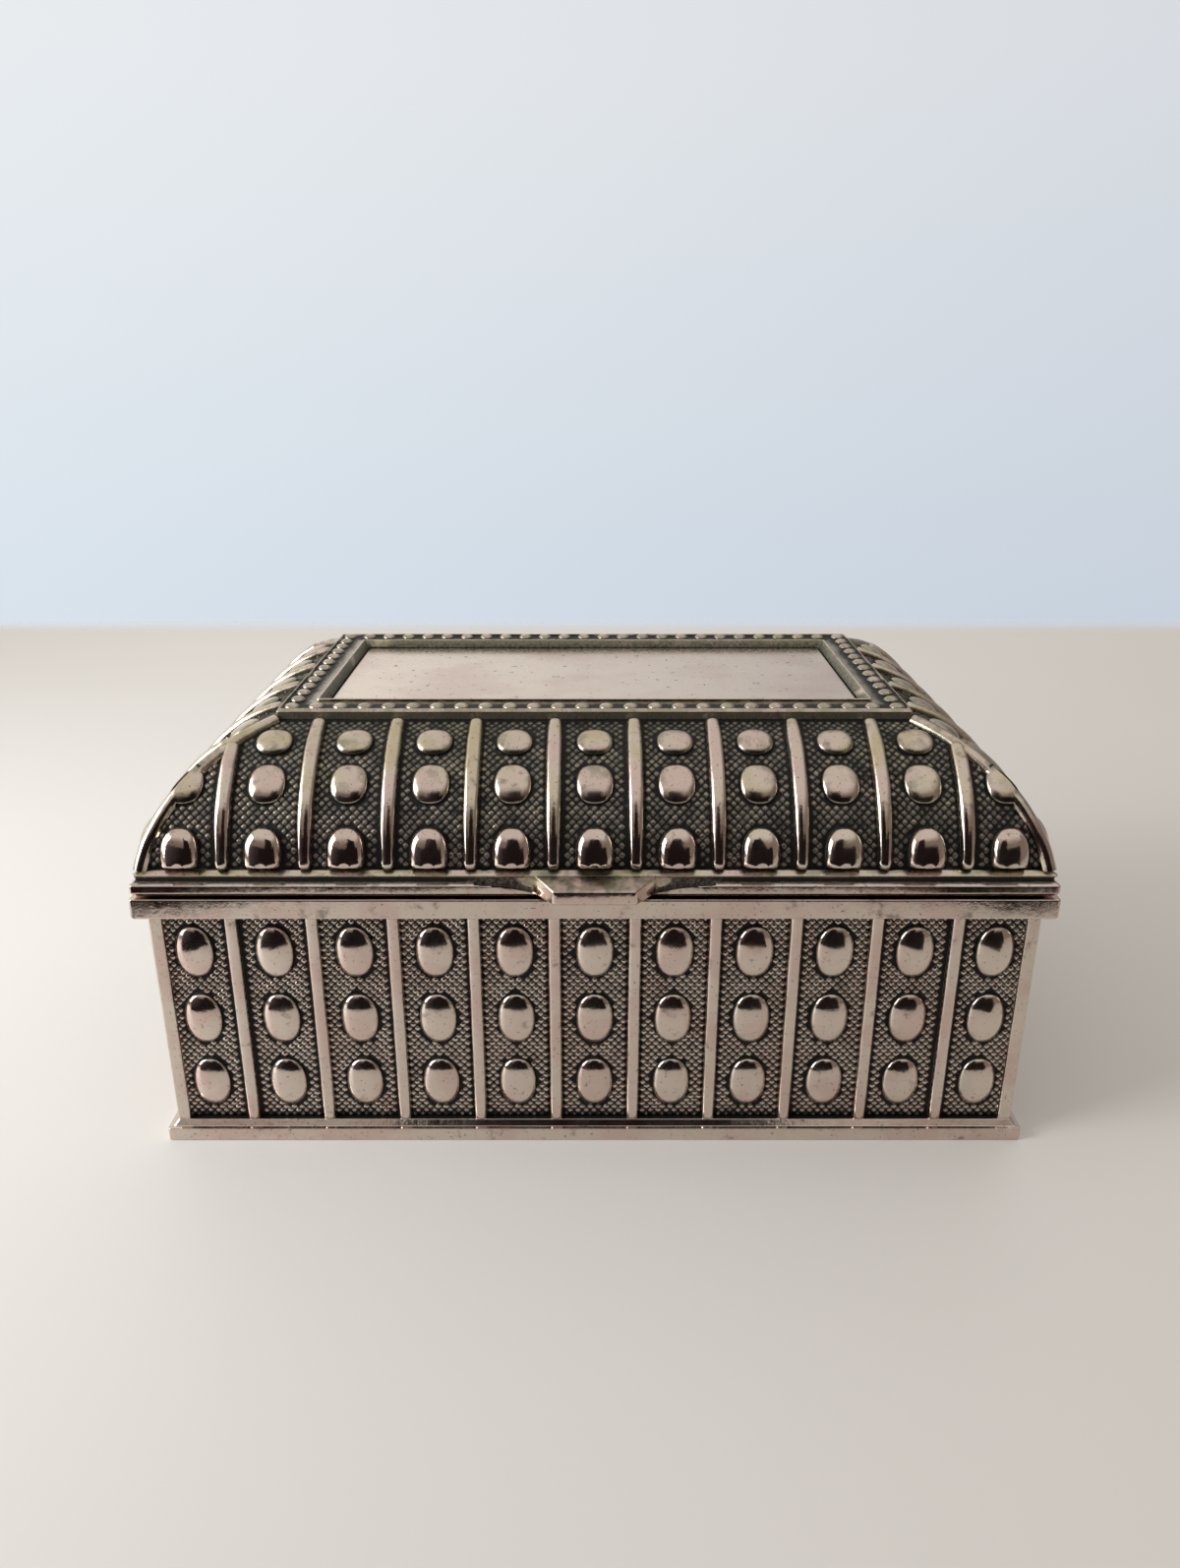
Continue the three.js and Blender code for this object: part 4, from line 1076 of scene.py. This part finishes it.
def frame_beads(box, p):
    """The beads around the plate, with one on each corner."""
    lid = box.lid
    reach = [h + p.bead_row for h in p.half]
    steps = [round(2 * r / lid.bead_pitch) for r in reach]
    places = []
    for sign in (-1, 1):
        places += [(x, sign * reach[1], lid.bead_length, lid.bead_breadth)
                   for x in np.linspace(-reach[0], reach[0], steps[0] + 1)]
        places += [(sign * reach[0], y, lid.bead_breadth, lid.bead_length)
                   for y in np.linspace(-reach[1], reach[1], steps[1] + 1)[1:-1]]
    made = []
    for oval in places:
        points, faces = dome(oval, lid.bead_proud, 0.2 * MM, 2.0, sides=16, steps=5)
        points[:, 2] += p.bead_floor
        made.append((points, faces))
    return made


def thumb_tab(box, p):
    """The lip in the middle of the front that the thumb lifts."""
    lid = box.lid
    low = p.lid_bottom + lid.tab_lift
    edge = 0.28 * MM
    front = -p.half[1] - lid.band_out - lid.tab_reach
    rings = []
    for y, shrink in ((-p.half[1] - p.groove + box.ground.sunk, 0), (front + edge, 0),
                      (front + 0.3 * edge, 0.3 * edge), (front, edge)):
        share = (y - front) / lid.tab_reach
        width = lid.tab_front + share * (lid.tab_root - lid.tab_front) - 2 * shrink
        thick = lid.tab + share * lid.tab_slope - 2 * shrink
        x, z, _ = rectangle((width / 2, thick / 2), 0, edge, (1, 1)).T
        rings.append(np.column_stack([x, np.full(len(x), y), low + shrink + thick / 2 + z]))
    return tube(rings)


def scoop(box, p, sign):
    """The hollow beside the tab, where the groove widens down across the band."""
    lid = box.lid
    start = lid.tab_root / 2
    top, low = p.band_top + lid.groove_height / 2, p.lid_bottom + lid.scoop_rise
    outline = [(start + lid.scoop, top), (start - 0.3 * MM, top)]
    for share in np.linspace(0, 1, 13):
        x = bend(start, start + lid.scoop_bend, start + lid.scoop, share)
        z = bend(low, p.band_top, p.band_top, share)
        outline.append((x - 0.3 * MM if share == 0 else x, z))
    if sign < 0:
        outline = [(-x, z) for x, z in outline[::-1]]
    back, front = -p.half[1] - p.groove, -p.half[1] - lid.band_out - 1 * MM
    return tube([[(x, y, z) for x, z in outline] for y in (back, front)])


def lid_profile(box, p):
    """The lid's section, from its hollow down, out, up the band and the slope, and in to the plate."""
    lid = box.lid
    inner, sunk = p.radius - lid.shell, p.radius - box.ground.clearance
    wall = p.cavity - lid.ledge
    seat = p.lid_bottom + lid.panel_seat
    ceiling = p.plate_seat - lid.shell
    crown = math.asin(min(math.sin(p.arc_end), (ceiling - p.arc_z) / inner))
    spring = math.acos((p.arc_inset + wall) / inner)
    made = [(inner * math.cos(a) - p.arc_inset, p.arc_z + inner * math.sin(a))
            for a in np.linspace(crown, spring, 10)]
    made += softened([
        (wall, seat, 0), (p.cavity, seat, 0), (p.cavity, p.lid_bottom, 0.2 * MM),
        (lid.band_out - lid.band_under, p.lid_bottom, 0.1 * MM),
        (lid.band_out, p.lid_bottom + lid.band_edge, 0.1 * MM),
        (lid.band_out - lid.band_lean, p.band_top, 0.15 * MM),
        (p.groove, p.band_top + lid.groove_height * 0.3, 0.15 * MM),
        (p.groove, p.band_top + lid.groove_height * 0.7, 0.15 * MM),
        (lid.bevel_out, p.bevel_bottom, 0.1 * MM), (0.05 * MM, p.slope_foot, 0.12 * MM),
        (sunk * math.cos(p.arc_start) - p.arc_inset, p.arc_z + sunk * math.sin(p.arc_start), 0),
    ])
    made += [(sunk * math.cos(a) - p.arc_inset, p.arc_z + sunk * math.sin(a))
             for a in np.linspace(p.arc_start, p.arc_end - 0.004, 24)[1:]]
    overhang = p.plate_offset - lid.lip_overhang
    made += softened([
        (-lid.run, p.frame_bottom, 0), (-lid.run, p.frame_bottom + 0.2 * MM, 0),
        (-lid.run, p.frame_top - lid.frame_chamfer - 0.1 * MM, 0),
        (-lid.run, p.frame_top - lid.frame_chamfer, 0.05 * MM),
        (-lid.run - lid.frame_lean, p.frame_top, 0.08 * MM),
        (p.bead_offset, p.frame_top, 0.08 * MM), (p.bead_offset - 0.1 * MM, p.bead_floor, 0),
        (p.bead_row - 1.0 * MM, p.bead_floor, 0), (p.lip_offset + 0.5 * MM, p.bead_floor, 0),
        (p.lip_offset + 0.1 * MM, p.bead_floor, 0), (p.lip_offset, p.lip_top, 0.12 * MM),
        (p.lip_offset - lid.lip_crest, p.lip_top, 0.12 * MM), (overhang, p.plate_top + 0.12 * MM, 0.06 * MM),
        (overhang, p.plate_top + 0.03 * MM, 0), (p.plate_offset, p.plate_top + 0.03 * MM, 0),
        (p.plate_offset, p.plate_seat, 0),
    ])
    return made


def on_tab(box, p, points, offset):
    """Tells which points lie on top of the thumb tab."""
    x, y, z = points.T
    found = (y < 0) & (np.abs(x) < 0.55 * box.lid.tab_root) & (offset > 0.1 * MM)
    return found & (z > p.lid_bottom + box.lid.tab) & (z < p.slope_foot)


def lid_relief(box, p, points):
    """How far each point of the lid stands above the slope, the groove or the bead channel under it."""
    lid = box.lid
    z = points[:, 2]
    offset = offset_of(p, points)
    radial = np.hypot(p.arc_inset + offset, z - p.arc_z) - p.radius
    slope = (z > p.slope_foot - 0.03 * MM) & (offset > -lid.run + 0.02 * MM) & (radial > -0.6 * MM)
    relief = np.where(slope, radial, PLAIN_RELIEF)
    for side in sides(box, p):
        local = turned(points, -side.turn % 4)
        facing = slope & (np.abs(local[:, 1] + side.distance + offset) < 0.01 * MM)
        inset = local[facing, 1] + side.distance
        arc = p.radius * (np.arctan2(z[facing] - p.arc_z, p.arc_inset - inset) - p.arc_start)
        foot = np.where(arc < lid.low_margin + 0.08 * MM, 0.3, 1)
        relief[facing] *= foot * boss_edges(local[facing, 0], arc, slope_ovals(box, p, side))
    band = (z > p.lid_bottom - 0.05 * MM) & (z < p.bevel_bottom - 0.05 * MM) & (offset > 0.3 * MM)
    relief = np.where(band, (offset - p.groove) * 0.8 + 0.03 * MM, relief)
    # The hollows beside the tab are kept dark brown, and the top of the tab is left dull.
    hollow = band & (points[:, 1] < 0) & (np.abs(points[:, 0]) < lid.tab_root / 2 + lid.scoop)
    relief = np.where(hollow, np.maximum(relief, 0.1 * MM), relief)
    relief = np.where(on_tab(box, p, points, offset), 0.6 * MM, relief)
    # The frame's outer face is black at its foot, dark up to its chamfer and bright above.
    face = (z > p.frame_bottom - 0.3 * MM) & (offset < -lid.run + 0.02 * MM)
    face &= offset > p.bead_offset + 0.05 * MM
    foot, chamfer = p.frame_bottom, p.frame_top - lid.frame_chamfer
    levels = (foot, foot + 0.2 * MM, chamfer - 0.1 * MM, chamfer + 0.05 * MM)
    relief = np.where(face, np.interp(z, levels, (-0.05 * MM, 0.15 * MM, 0.15 * MM, 0.4 * MM)), relief)
    # The channel is black round the beads and was rubbed beside the lip.
    channel = (offset < p.bead_offset) & (offset > p.lip_offset + 0.05 * MM) & (z > p.bead_floor - 0.05 * MM)
    rubbed = np.interp(p.bead_row - offset, (0.9 * MM, 1.8 * MM), (0.04 * MM, 0.2 * MM))
    relief = np.where(channel, z - p.bead_floor + rubbed, relief)
    # The lip's inner slope kept much of its black, most of all where it meets the plate.
    lip = (offset < p.lip_offset - lid.lip_crest - 0.05 * MM) & (z > p.plate_seat - 0.1 * MM)
    return np.where(lip, np.interp(z, (p.plate_top + 0.1 * MM, p.lip_top), (0.12 * MM, 0.2 * MM)), relief)


def lid_yellowing(box, p, points):
    """How far each point of the lid has yellowed: little on the band, much up the slope, on lip and tab."""
    z = points[:, 2]
    offset = offset_of(p, points)
    levels = (p.lid_bottom, p.band_top, p.bevel_bottom, p.slope_foot, p.slope_foot + 0.3 * MM,
              p.slope_foot + 3 * MM, p.frame_bottom, p.lip_top)
    shares = np.interp(z, levels, (0.1, 0.15, 0.7, 0.7, 0.15, 0.35, 0.85, 0.6))
    lip = offset < p.lip_offset - box.lid.lip_crest
    return np.where(lip | on_tab(box, p, points, offset), 1.0, shares)


class BOX_OT_lid_casting(bpy.types.Operator):
    """Builds the lid casting: band, ribbed and bossed slopes, bead frame, thumb tab and hinge knuckles"""
    bl_idname = "trinket.lid_casting"
    bl_label = "Lid casting"

    def execute(self, context):
        box = context.scene.trinket_box
        p = plan(box)
        piece = made_object("lid_shell", loft(p.half, lid_profile(box, p), CAST_CORNER, CAST_SPACING))
        combined(piece, "DIFFERENCE", scoop(box, p, -1), scoop(box, p, 1))
        plates = [on_slope(side, p, slope_ground(box, p, side)) for side in sides(box, p)]
        combined(piece, "UNION", *plates)
        for side in sides(box, p):
            ornament = [on_slope(side, p, shape) for shape in slope_ornament(box, p, side)]
            cut = made_object("slope_ornament", gathered(ornament))
            combined(cut, "INTERSECT", mitre_wedge(box, p, side))
            shape = points_of(cut), [tuple(face.vertices) for face in cut.data.polygons]
            bpy.data.objects.remove(cut)
            combined(piece, "UNION", shape)
        combined(piece, "UNION", gathered(hip_ribs(box, p)), gathered(frame_beads(box, p)),
                 thumb_tab(box, p), *hinge_knuckles(box, p, True))
        combined(piece, "DIFFERENCE", pin_bore(box, p))
        finished_mesh(piece, *CAST_WOBBLE)
        points = points_of(piece)
        store(piece, "relief", lid_relief(box, p, points))
        store(piece, "yellowing", lid_yellowing(box, p, points))
        dressed(piece, cast_silver(box.finish), "lid", "cast_silver", "lid_casting")
        return {"FINISHED"}


# The plate, the pin and the felt

class BOX_OT_lid_plate(bpy.types.Operator):
    """Builds the smooth plate in the lid's frame"""
    bl_idname = "trinket.lid_plate"
    bl_label = "Lid plate"

    def execute(self, context):
        box = context.scene.trinket_box
        low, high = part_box("lid_plate")
        edge = 0.15 * MM
        profile = softened([(0, low.z, 0), (0, high.z, edge), (-2 * edge, high.z, 0)])
        profile += [(-inset * MM, high.z - 0.02 * MM * math.sin(inset)) for inset in (2, 4, 6, 8, 10, 12)]
        piece = made_object("lid_inset_plate", loft((high.x, high.y), profile, 0.3 * MM, CAST_SPACING))
        finished_mesh(piece, 0.02 * MM, 14 * MM)
        dressed(piece, plate_silver(box.finish), "lid", "polished_silver", "lid_plate")
        return {"FINISHED"}


class BOX_OT_hinge_pin(bpy.types.Operator):
    """Builds the pin through the knuckles"""
    bl_idname = "trinket.hinge_pin"
    bl_label = "Hinge pin"

    def execute(self, context):
        box = context.scene.trinket_box
        p = plan(box)
        low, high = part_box("hinge_pin")
        piece = made_object("hinge_wire", bar(box.hinge.pin, low.x, high.x, p.hinge, box.hinge.edge))
        finished_mesh(piece)
        dressed(piece, pin_steel(box.finish), "tray", "pin_steel", "hinge_pin")
        return {"FINISHED"}


class BOX_OT_base_felt(bpy.types.Operator):
    """Builds the felt glued under the base"""
    bl_idname = "trinket.base_felt"
    bl_label = "Base felt"

    def execute(self, context):
        box = context.scene.trinket_box
        low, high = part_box("base_baize")
        edge = 0.2 * MM
        profile = softened([(-2 * MM, low.z, 0), (0, low.z, edge), (0, high.z, edge), (-2 * MM, high.z, 0)])
        piece = made_object("base_felt", loft((high.x, high.y), profile, 1 * MM, box.lining.spacing))
        finished_mesh(piece)
        # Wool felt, pressed: a matted, dull surface with a faint fuzz.
        felt = fibrous("wool_felt_pressed", box.finish.felt, 0.3, 0.15, 0.3)
        dressed(piece, felt, "tray", "baize", "base_baize")
        return {"FINISHED"}


# The lining

class BOX_OT_wall_linings(bpy.types.Operator):
    """Builds the velvet on the four wall cards and gives the cards their finish"""
    bl_idname = "trinket.wall_linings"
    bl_label = "Wall linings"

    def execute(self, context):
        box = context.scene.trinket_box
        lining = box.lining
        velvet = velvet_rayon(box.finish)
        # Grey-brown board, rolled: dull, with short fibres in it.
        card = fibrous("rolled_card_board", box.finish.card, 0.25, 0.05, 0.0)
        p = plan(box)
        for side in sides(box, p):
            low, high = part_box(f"{side.name}_wall_velvet")
            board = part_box(f"{side.name}_wall_card")
            out = 1 - side.turn % 2  # the axis across the wall
            length = high[1 - out] - low[1 - out]
            face, wall = sorted((abs(low[out]), abs(high[out])))
            card_face = min(abs(board[0][out]), abs(board[1][out]))
            behind = card_face - 0.1 * MM
            under = board[1].z + 0.1 * MM
            section = softened([
                (behind, low.z, 0), (behind, under, 0), (wall, under, 0), (wall, high.z, 0.3 * MM),
                (face, high.z, lining.edge), (face, low.z, 0),
            ], steps=6)
            count = round(length / lining.spacing)
            rings = []
            for share in np.linspace(-0.5, 0.5, count + 1):
                sway = lining.ripple * noise.noise(Vector((share * length / (11 * MM), side.turn * 5.1, 0)))
                rings.append([(share * length, (sway if away < behind - 0.3 * MM else 0) - away, z)
                              for away, z in section])
            points, faces = tube(rings)
            piece = made_object(f"{side.name}_wall_lining", (turned(points, side.turn), faces))
            finished_mesh(piece)
            dressed(piece, velvet, "tray", "velvet", f"{side.name}_wall_velvet")
            frame["nodes"][f"{side.name}_wall_card"].material_slots[0].material = card
        return {"FINISHED"}


def pad_profile(height, half, lining, inset, base, drop):
    """The section of a crowned pad from its lower edge to its middle, as (offset, height) points."""
    top = height - lining.crown - drop
    corner = [(-inset, base, 0), (-inset, top, lining.edge), (-inset - 3 * lining.edge, top, 0)]
    made = softened(corner, steps=5)[:-1]
    edge = inset + 2 * lining.edge
    for share in np.linspace(0, 0.96, 14):
        run = edge + share * (half - edge)
        made.append((-run, top + lining.crown * (1 - (1 - share) ** 2.4)))
    return made


class BOX_OT_pads(bpy.types.Operator):
    """Builds the padded velvet panels of the floor and the lid, with wadding and card inside"""
    bl_idname = "trinket.pads"
    bl_label = "Pads"

    def execute(self, context):
        box = context.scene.trinket_box
        lining = box.lining
        velvet = velvet_rayon(box.finish)
        card = fibrous("rolled_card_board_pads", box.finish.card, 0.25, 0.05, 0.0)
        # Cotton wadding, carded: soft loose fibres.
        wadding = fibrous("carded_cotton_wadding", box.finish.wadding, 0.8, 0.3, 0.2)
        for name, body in (("floor", "tray"), ("lid", "lid")):
            low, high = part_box(f"{name}_velvet")
            fill_low, fill_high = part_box(f"{name}_wadding")
            plan_half = (high.x, high.y)
            height, half = high.z - low.z, min(plan_half)
            outer = pad_profile(height, half, lining, 0, 0, 0)
            inner = pad_profile(height, half, lining, lining.velvet, 0, lining.velvet)
            cover = loft(plan_half, inner[::-1] + outer, 1.2 * MM, lining.spacing)
            base = fill_low.z - low.z if name == "floor" else high.z - fill_high.z
            under = lining.velvet + 0.1 * MM
            stuffing = loft(plan_half, pad_profile(height, half, lining, under, base, under),
                            1.0 * MM, lining.spacing)
            for shape, label, material, slot in ((cover, "velvet", velvet, "velvet"),
                                                 (stuffing, "wadding", wadding, "wadding")):
                points, faces = shape
                if name == "lid":
                    points = points * np.array([1, -1, -1]) + np.array([0, 0, high.z])
                else:
                    points = points + np.array([0, 0, low.z])
                piece = made_object(f"{name}_pad_{label}", (points, faces))
                finished_mesh(piece)
                dressed(piece, material, body, slot, f"{name}_{label}")
            frame["nodes"][f"{name}_card"].material_slots[0].material = card
        return {"FINISHED"}


# The stage

class BOX_OT_stage(bpy.types.Operator):
    """Sets the table, the pale surroundings, the lamp and the camera"""
    bl_idname = "trinket.stage"
    bl_label = "Stage"

    def execute(self, context):
        box = context.scene.trinket_box
        stage, finish = box.stage, box.finish
        p = plan(box)
        self.table(stage, finish)
        self.dark_card(stage, finish)
        self.surroundings(context, stage, finish)
        lamp = bpy.data.lights.new("window_lamp", "AREA")
        lamp.size = stage.lamp_size
        lamp.energy = stage.lamp_power
        lamp.spread = stage.lamp_spread
        lamp.color = finish.lamp
        lamp_object = bpy.data.objects.new("window_lamp", lamp)
        lamp_object.location = (-stage.lamp_left, stage.lamp_back, stage.lamp_height)
        aim = Vector((-stage.lamp_aim, 0, 0)) - lamp_object.location
        lamp_object.rotation_euler = aim.to_track_quat("-Z", "Y").to_euler()
        lamp_object.visible_camera = False
        context.scene.collection.objects.link(lamp_object)
        camera = bpy.data.cameras.new("camera")
        camera.sensor_width = 36.0
        camera.lens = camera.sensor_width * stage.focal_pixels / max(IMAGE_SIZE)
        camera.clip_start = 5 * MM
        camera_object = bpy.data.objects.new("camera", camera)
        camera_object.location = (stage.camera_left, -p.half[1] - stage.camera_away, stage.camera_height)
        camera_object.rotation_euler = (math.pi / 2 - stage.pitch, 0, 0)
        context.scene.collection.objects.link(camera_object)
        context.scene.camera = camera_object
        context.scene.view_settings.view_transform = "Standard"
        return {"FINISHED"}

    def table(self, stage, finish):
        """The pale table, fading out at its back edge."""
        reach, back = stage.table_reach, stage.table_back + 2.5 * stage.table_fade
        points = [(-reach, -reach, 0), (reach, -reach, 0), (reach, back, 0), (-reach, back, 0)]
        table = made_object("table", (np.array(points), [(0, 1, 2, 3)]))
        # Honed white stone: dull, with a faint soft gloss.
        material, tree, place = new_material("honed_stone_table")
        cloud = add_node(tree, "TexNoise", {"Vector": place, "Scale": per_metre(90), "Detail": 2.0})
        shade = add_node(tree, "MapRange", (cloud, 0.0, 1.0, 0.97, 1.02))
        # Painted light: the stone's colour is made lighter towards the back, standing in for light that is
        # brighter there.
        depth = add_node(tree, "SeparateXYZ", (place,), "Y")
        painted_back_light = add_node(tree, "MapRange", (depth, -100 * MM, 240 * MM, 0.93, 1.14))
        shade = add_node(tree, "Math", (shade, painted_back_light), operation="MULTIPLY")
        tone = add_node(tree, "Mix", (1.0, finish.table, shade), **COLOUR_TIMES)
        shader = add_node(tree, "BsdfPrincipled",
                          {"Base Color": tone, "Roughness": 0.42, "Specular IOR Level": 0.5})
        clear = add_node(tree, "BsdfTransparent")
        edge = (stage.table_back - stage.table_fade, stage.table_back + stage.table_fade)
        fade = add_node(tree, "MapRange", (depth, *edge), **SMOOTH_STEP)
        mixed = add_node(tree, "MixShader", (fade, shader, clear))
        add_node(tree, "OutputMaterial", {"Surface": mixed})
        table.data.materials.append(material)

    def dark_card(self, stage, finish):
        """A low curved card in front and a tall one by the camera, dark, which only polished metal sees."""
        line = [(stage.table_front, 2 * MM), (300 * MM, 2 * MM), (360 * MM, 20 * MM), (400 * MM, 100 * MM),
                (420 * MM, 180 * MM), (420 * MM, stage.card_top)]
        angles = np.radians(np.linspace(-54, 40, 27))
        points = [(distance * math.sin(angle), -distance * math.cos(angle), height)
                  for distance, height in line for angle in angles]
        count = len(angles)
        faces = []
        for row in range(len(line) - 1):
            for a in range(row * count, row * count + count - 1):
                faces.append((a, a + 1, a + 1 + count, a + count))
        half, low, top = stage.camera_card_width / 2, stage.camera_card_low, stage.camera_card_top
        outline = ((-half, low), (half, low), (0.8 * half, top), (-0.8 * half, top))
        faces.append(tuple(range(len(points), len(points) + len(outline))))
        points += [(x, -stage.camera_card_away, z) for x, z in outline]
        card = made_object("dark_card", (np.array(points), faces))
        # Painted reflection: a glowing dark sheet, not a lit card, that only polished metal sees and that
        # puts dark shapes in it; its end towards the window glows lighter as painted light.
        material, tree, place = new_material("dark_card_painted_reflection")
        across = add_node(tree, "SeparateXYZ", (place,), "X")
        left = add_node(tree, "MapRange", (across, -140 * MM, -360 * MM))
        tone = add_node(tree, "Mix", (left, finish.dark_card, finish.dark_card_painted_window_light), **COLOUR_MIX)
        glow = add_node(tree, "Emission", {"Color": tone})
        add_node(tree, "OutputMaterial", {"Surface": glow})
        card.data.materials.append(material)
        for sight in ("visible_camera", "visible_diffuse", "visible_shadow", "visible_transmission"):
            setattr(card, sight, False)

    def surroundings(self, context, stage, finish):
        """A pale wall behind, a dim room in front and a pale ceiling; the camera sees the wall alone."""
        world = bpy.data.worlds.new("studio")
        world.use_nodes = True
        tree = world.node_tree
        tree.nodes.clear()
        way = add_node(tree, "TexCoord", output="Generated")
        x, y, z = (add_node(tree, "SeparateXYZ", (way,), axis) for axis in "XYZ")
        across = add_node(tree, "MapRange", (x, -0.5, 0.5))
        upper = add_node(tree, "Mix", (across, finish.wall_left, finish.wall_right), **COLOUR_MIX)
        low = add_node(tree, "MapRange", (z, 0.2, -0.2))
        wall = add_node(tree, "Mix", (low, upper, finish.wall_low), **COLOUR_TIMES)
        # Polished metal sees more of the wall, which dims away from the window.
        away = add_node(tree, "MapRange", (x, -0.35, 0.5))
        behind = add_node(tree, "Mix", (away, finish.wall_near, finish.wall_far), **COLOUR_MIX)
        ahead = add_node(tree, "MapRange", (y, 0.2, -0.4), **SMOOTH_STEP)
        around = add_node(tree, "Mix", (ahead, behind, finish.room), **COLOUR_MIX)
        above = add_node(tree, "MapRange", (z, 0.5, 0.8), **SMOOTH_STEP)
        room = add_node(tree, "Mix", (above, around, finish.ceiling), **COLOUR_MIX)
        on_camera = add_node(tree, "LightPath", output="Is Camera Ray")
        on_dull = add_node(tree, "LightPath", output="Is Diffuse Ray")
        seen = add_node(tree, "Mix", (on_camera, room, wall), **COLOUR_MIX)
        seen = add_node(tree, "Mix", (on_dull, seen, finish.fill), **COLOUR_MIX)
        strength = add_node(tree, "MapRange", (on_dull, 0.0, 1.0, 1.0, stage.shade))
        light = add_node(tree, "Background", {"Color": seen, "Strength": strength})
        add_node(tree, "OutputWorld", {"Surface": light})
        context.scene.world = world


class BOX_PT_panel(bpy.types.Panel):
    """Lists the pieces of the box"""
    bl_idname = "BOX_PT_panel"
    bl_label = "Trinket Box"
    bl_space_type = "VIEW_3D"
    bl_region_type = "UI"
    bl_category = "Trinket Box"

    def draw(self, context):
        for operator in OPERATORS:
            self.layout.operator(operator.bl_idname)


GROUPS = (GroundSizes, TraySizes, LidSizes, HingeSizes, LiningSizes, StageSizes, Finishes, BoxSettings)
OPERATORS = (BOX_OT_stage, BOX_OT_base_casting, BOX_OT_lid_casting, BOX_OT_lid_plate, BOX_OT_hinge_pin,
             BOX_OT_base_felt, BOX_OT_wall_linings, BOX_OT_pads)


def register():
    for cls in (*GROUPS, *OPERATORS, BOX_PT_panel):
        bpy.utils.register_class(cls)
    bpy.types.Scene.trinket_box = PointerProperty(type=BoxSettings)


def unregister():
    del bpy.types.Scene.trinket_box
    for cls in reversed((*GROUPS, *OPERATORS, BOX_PT_panel)):
        bpy.utils.unregister_class(cls)


def main():
    register()
    bpy.ops.trinket.stage()
    bpy.ops.trinket.base_casting()
    bpy.ops.trinket.lid_casting()
    bpy.ops.trinket.lid_plate()
    bpy.ops.trinket.hinge_pin()
    bpy.ops.trinket.base_felt()
    bpy.ops.trinket.wall_linings()
    bpy.ops.trinket.pads()


if __name__ == "__main__":
    main()
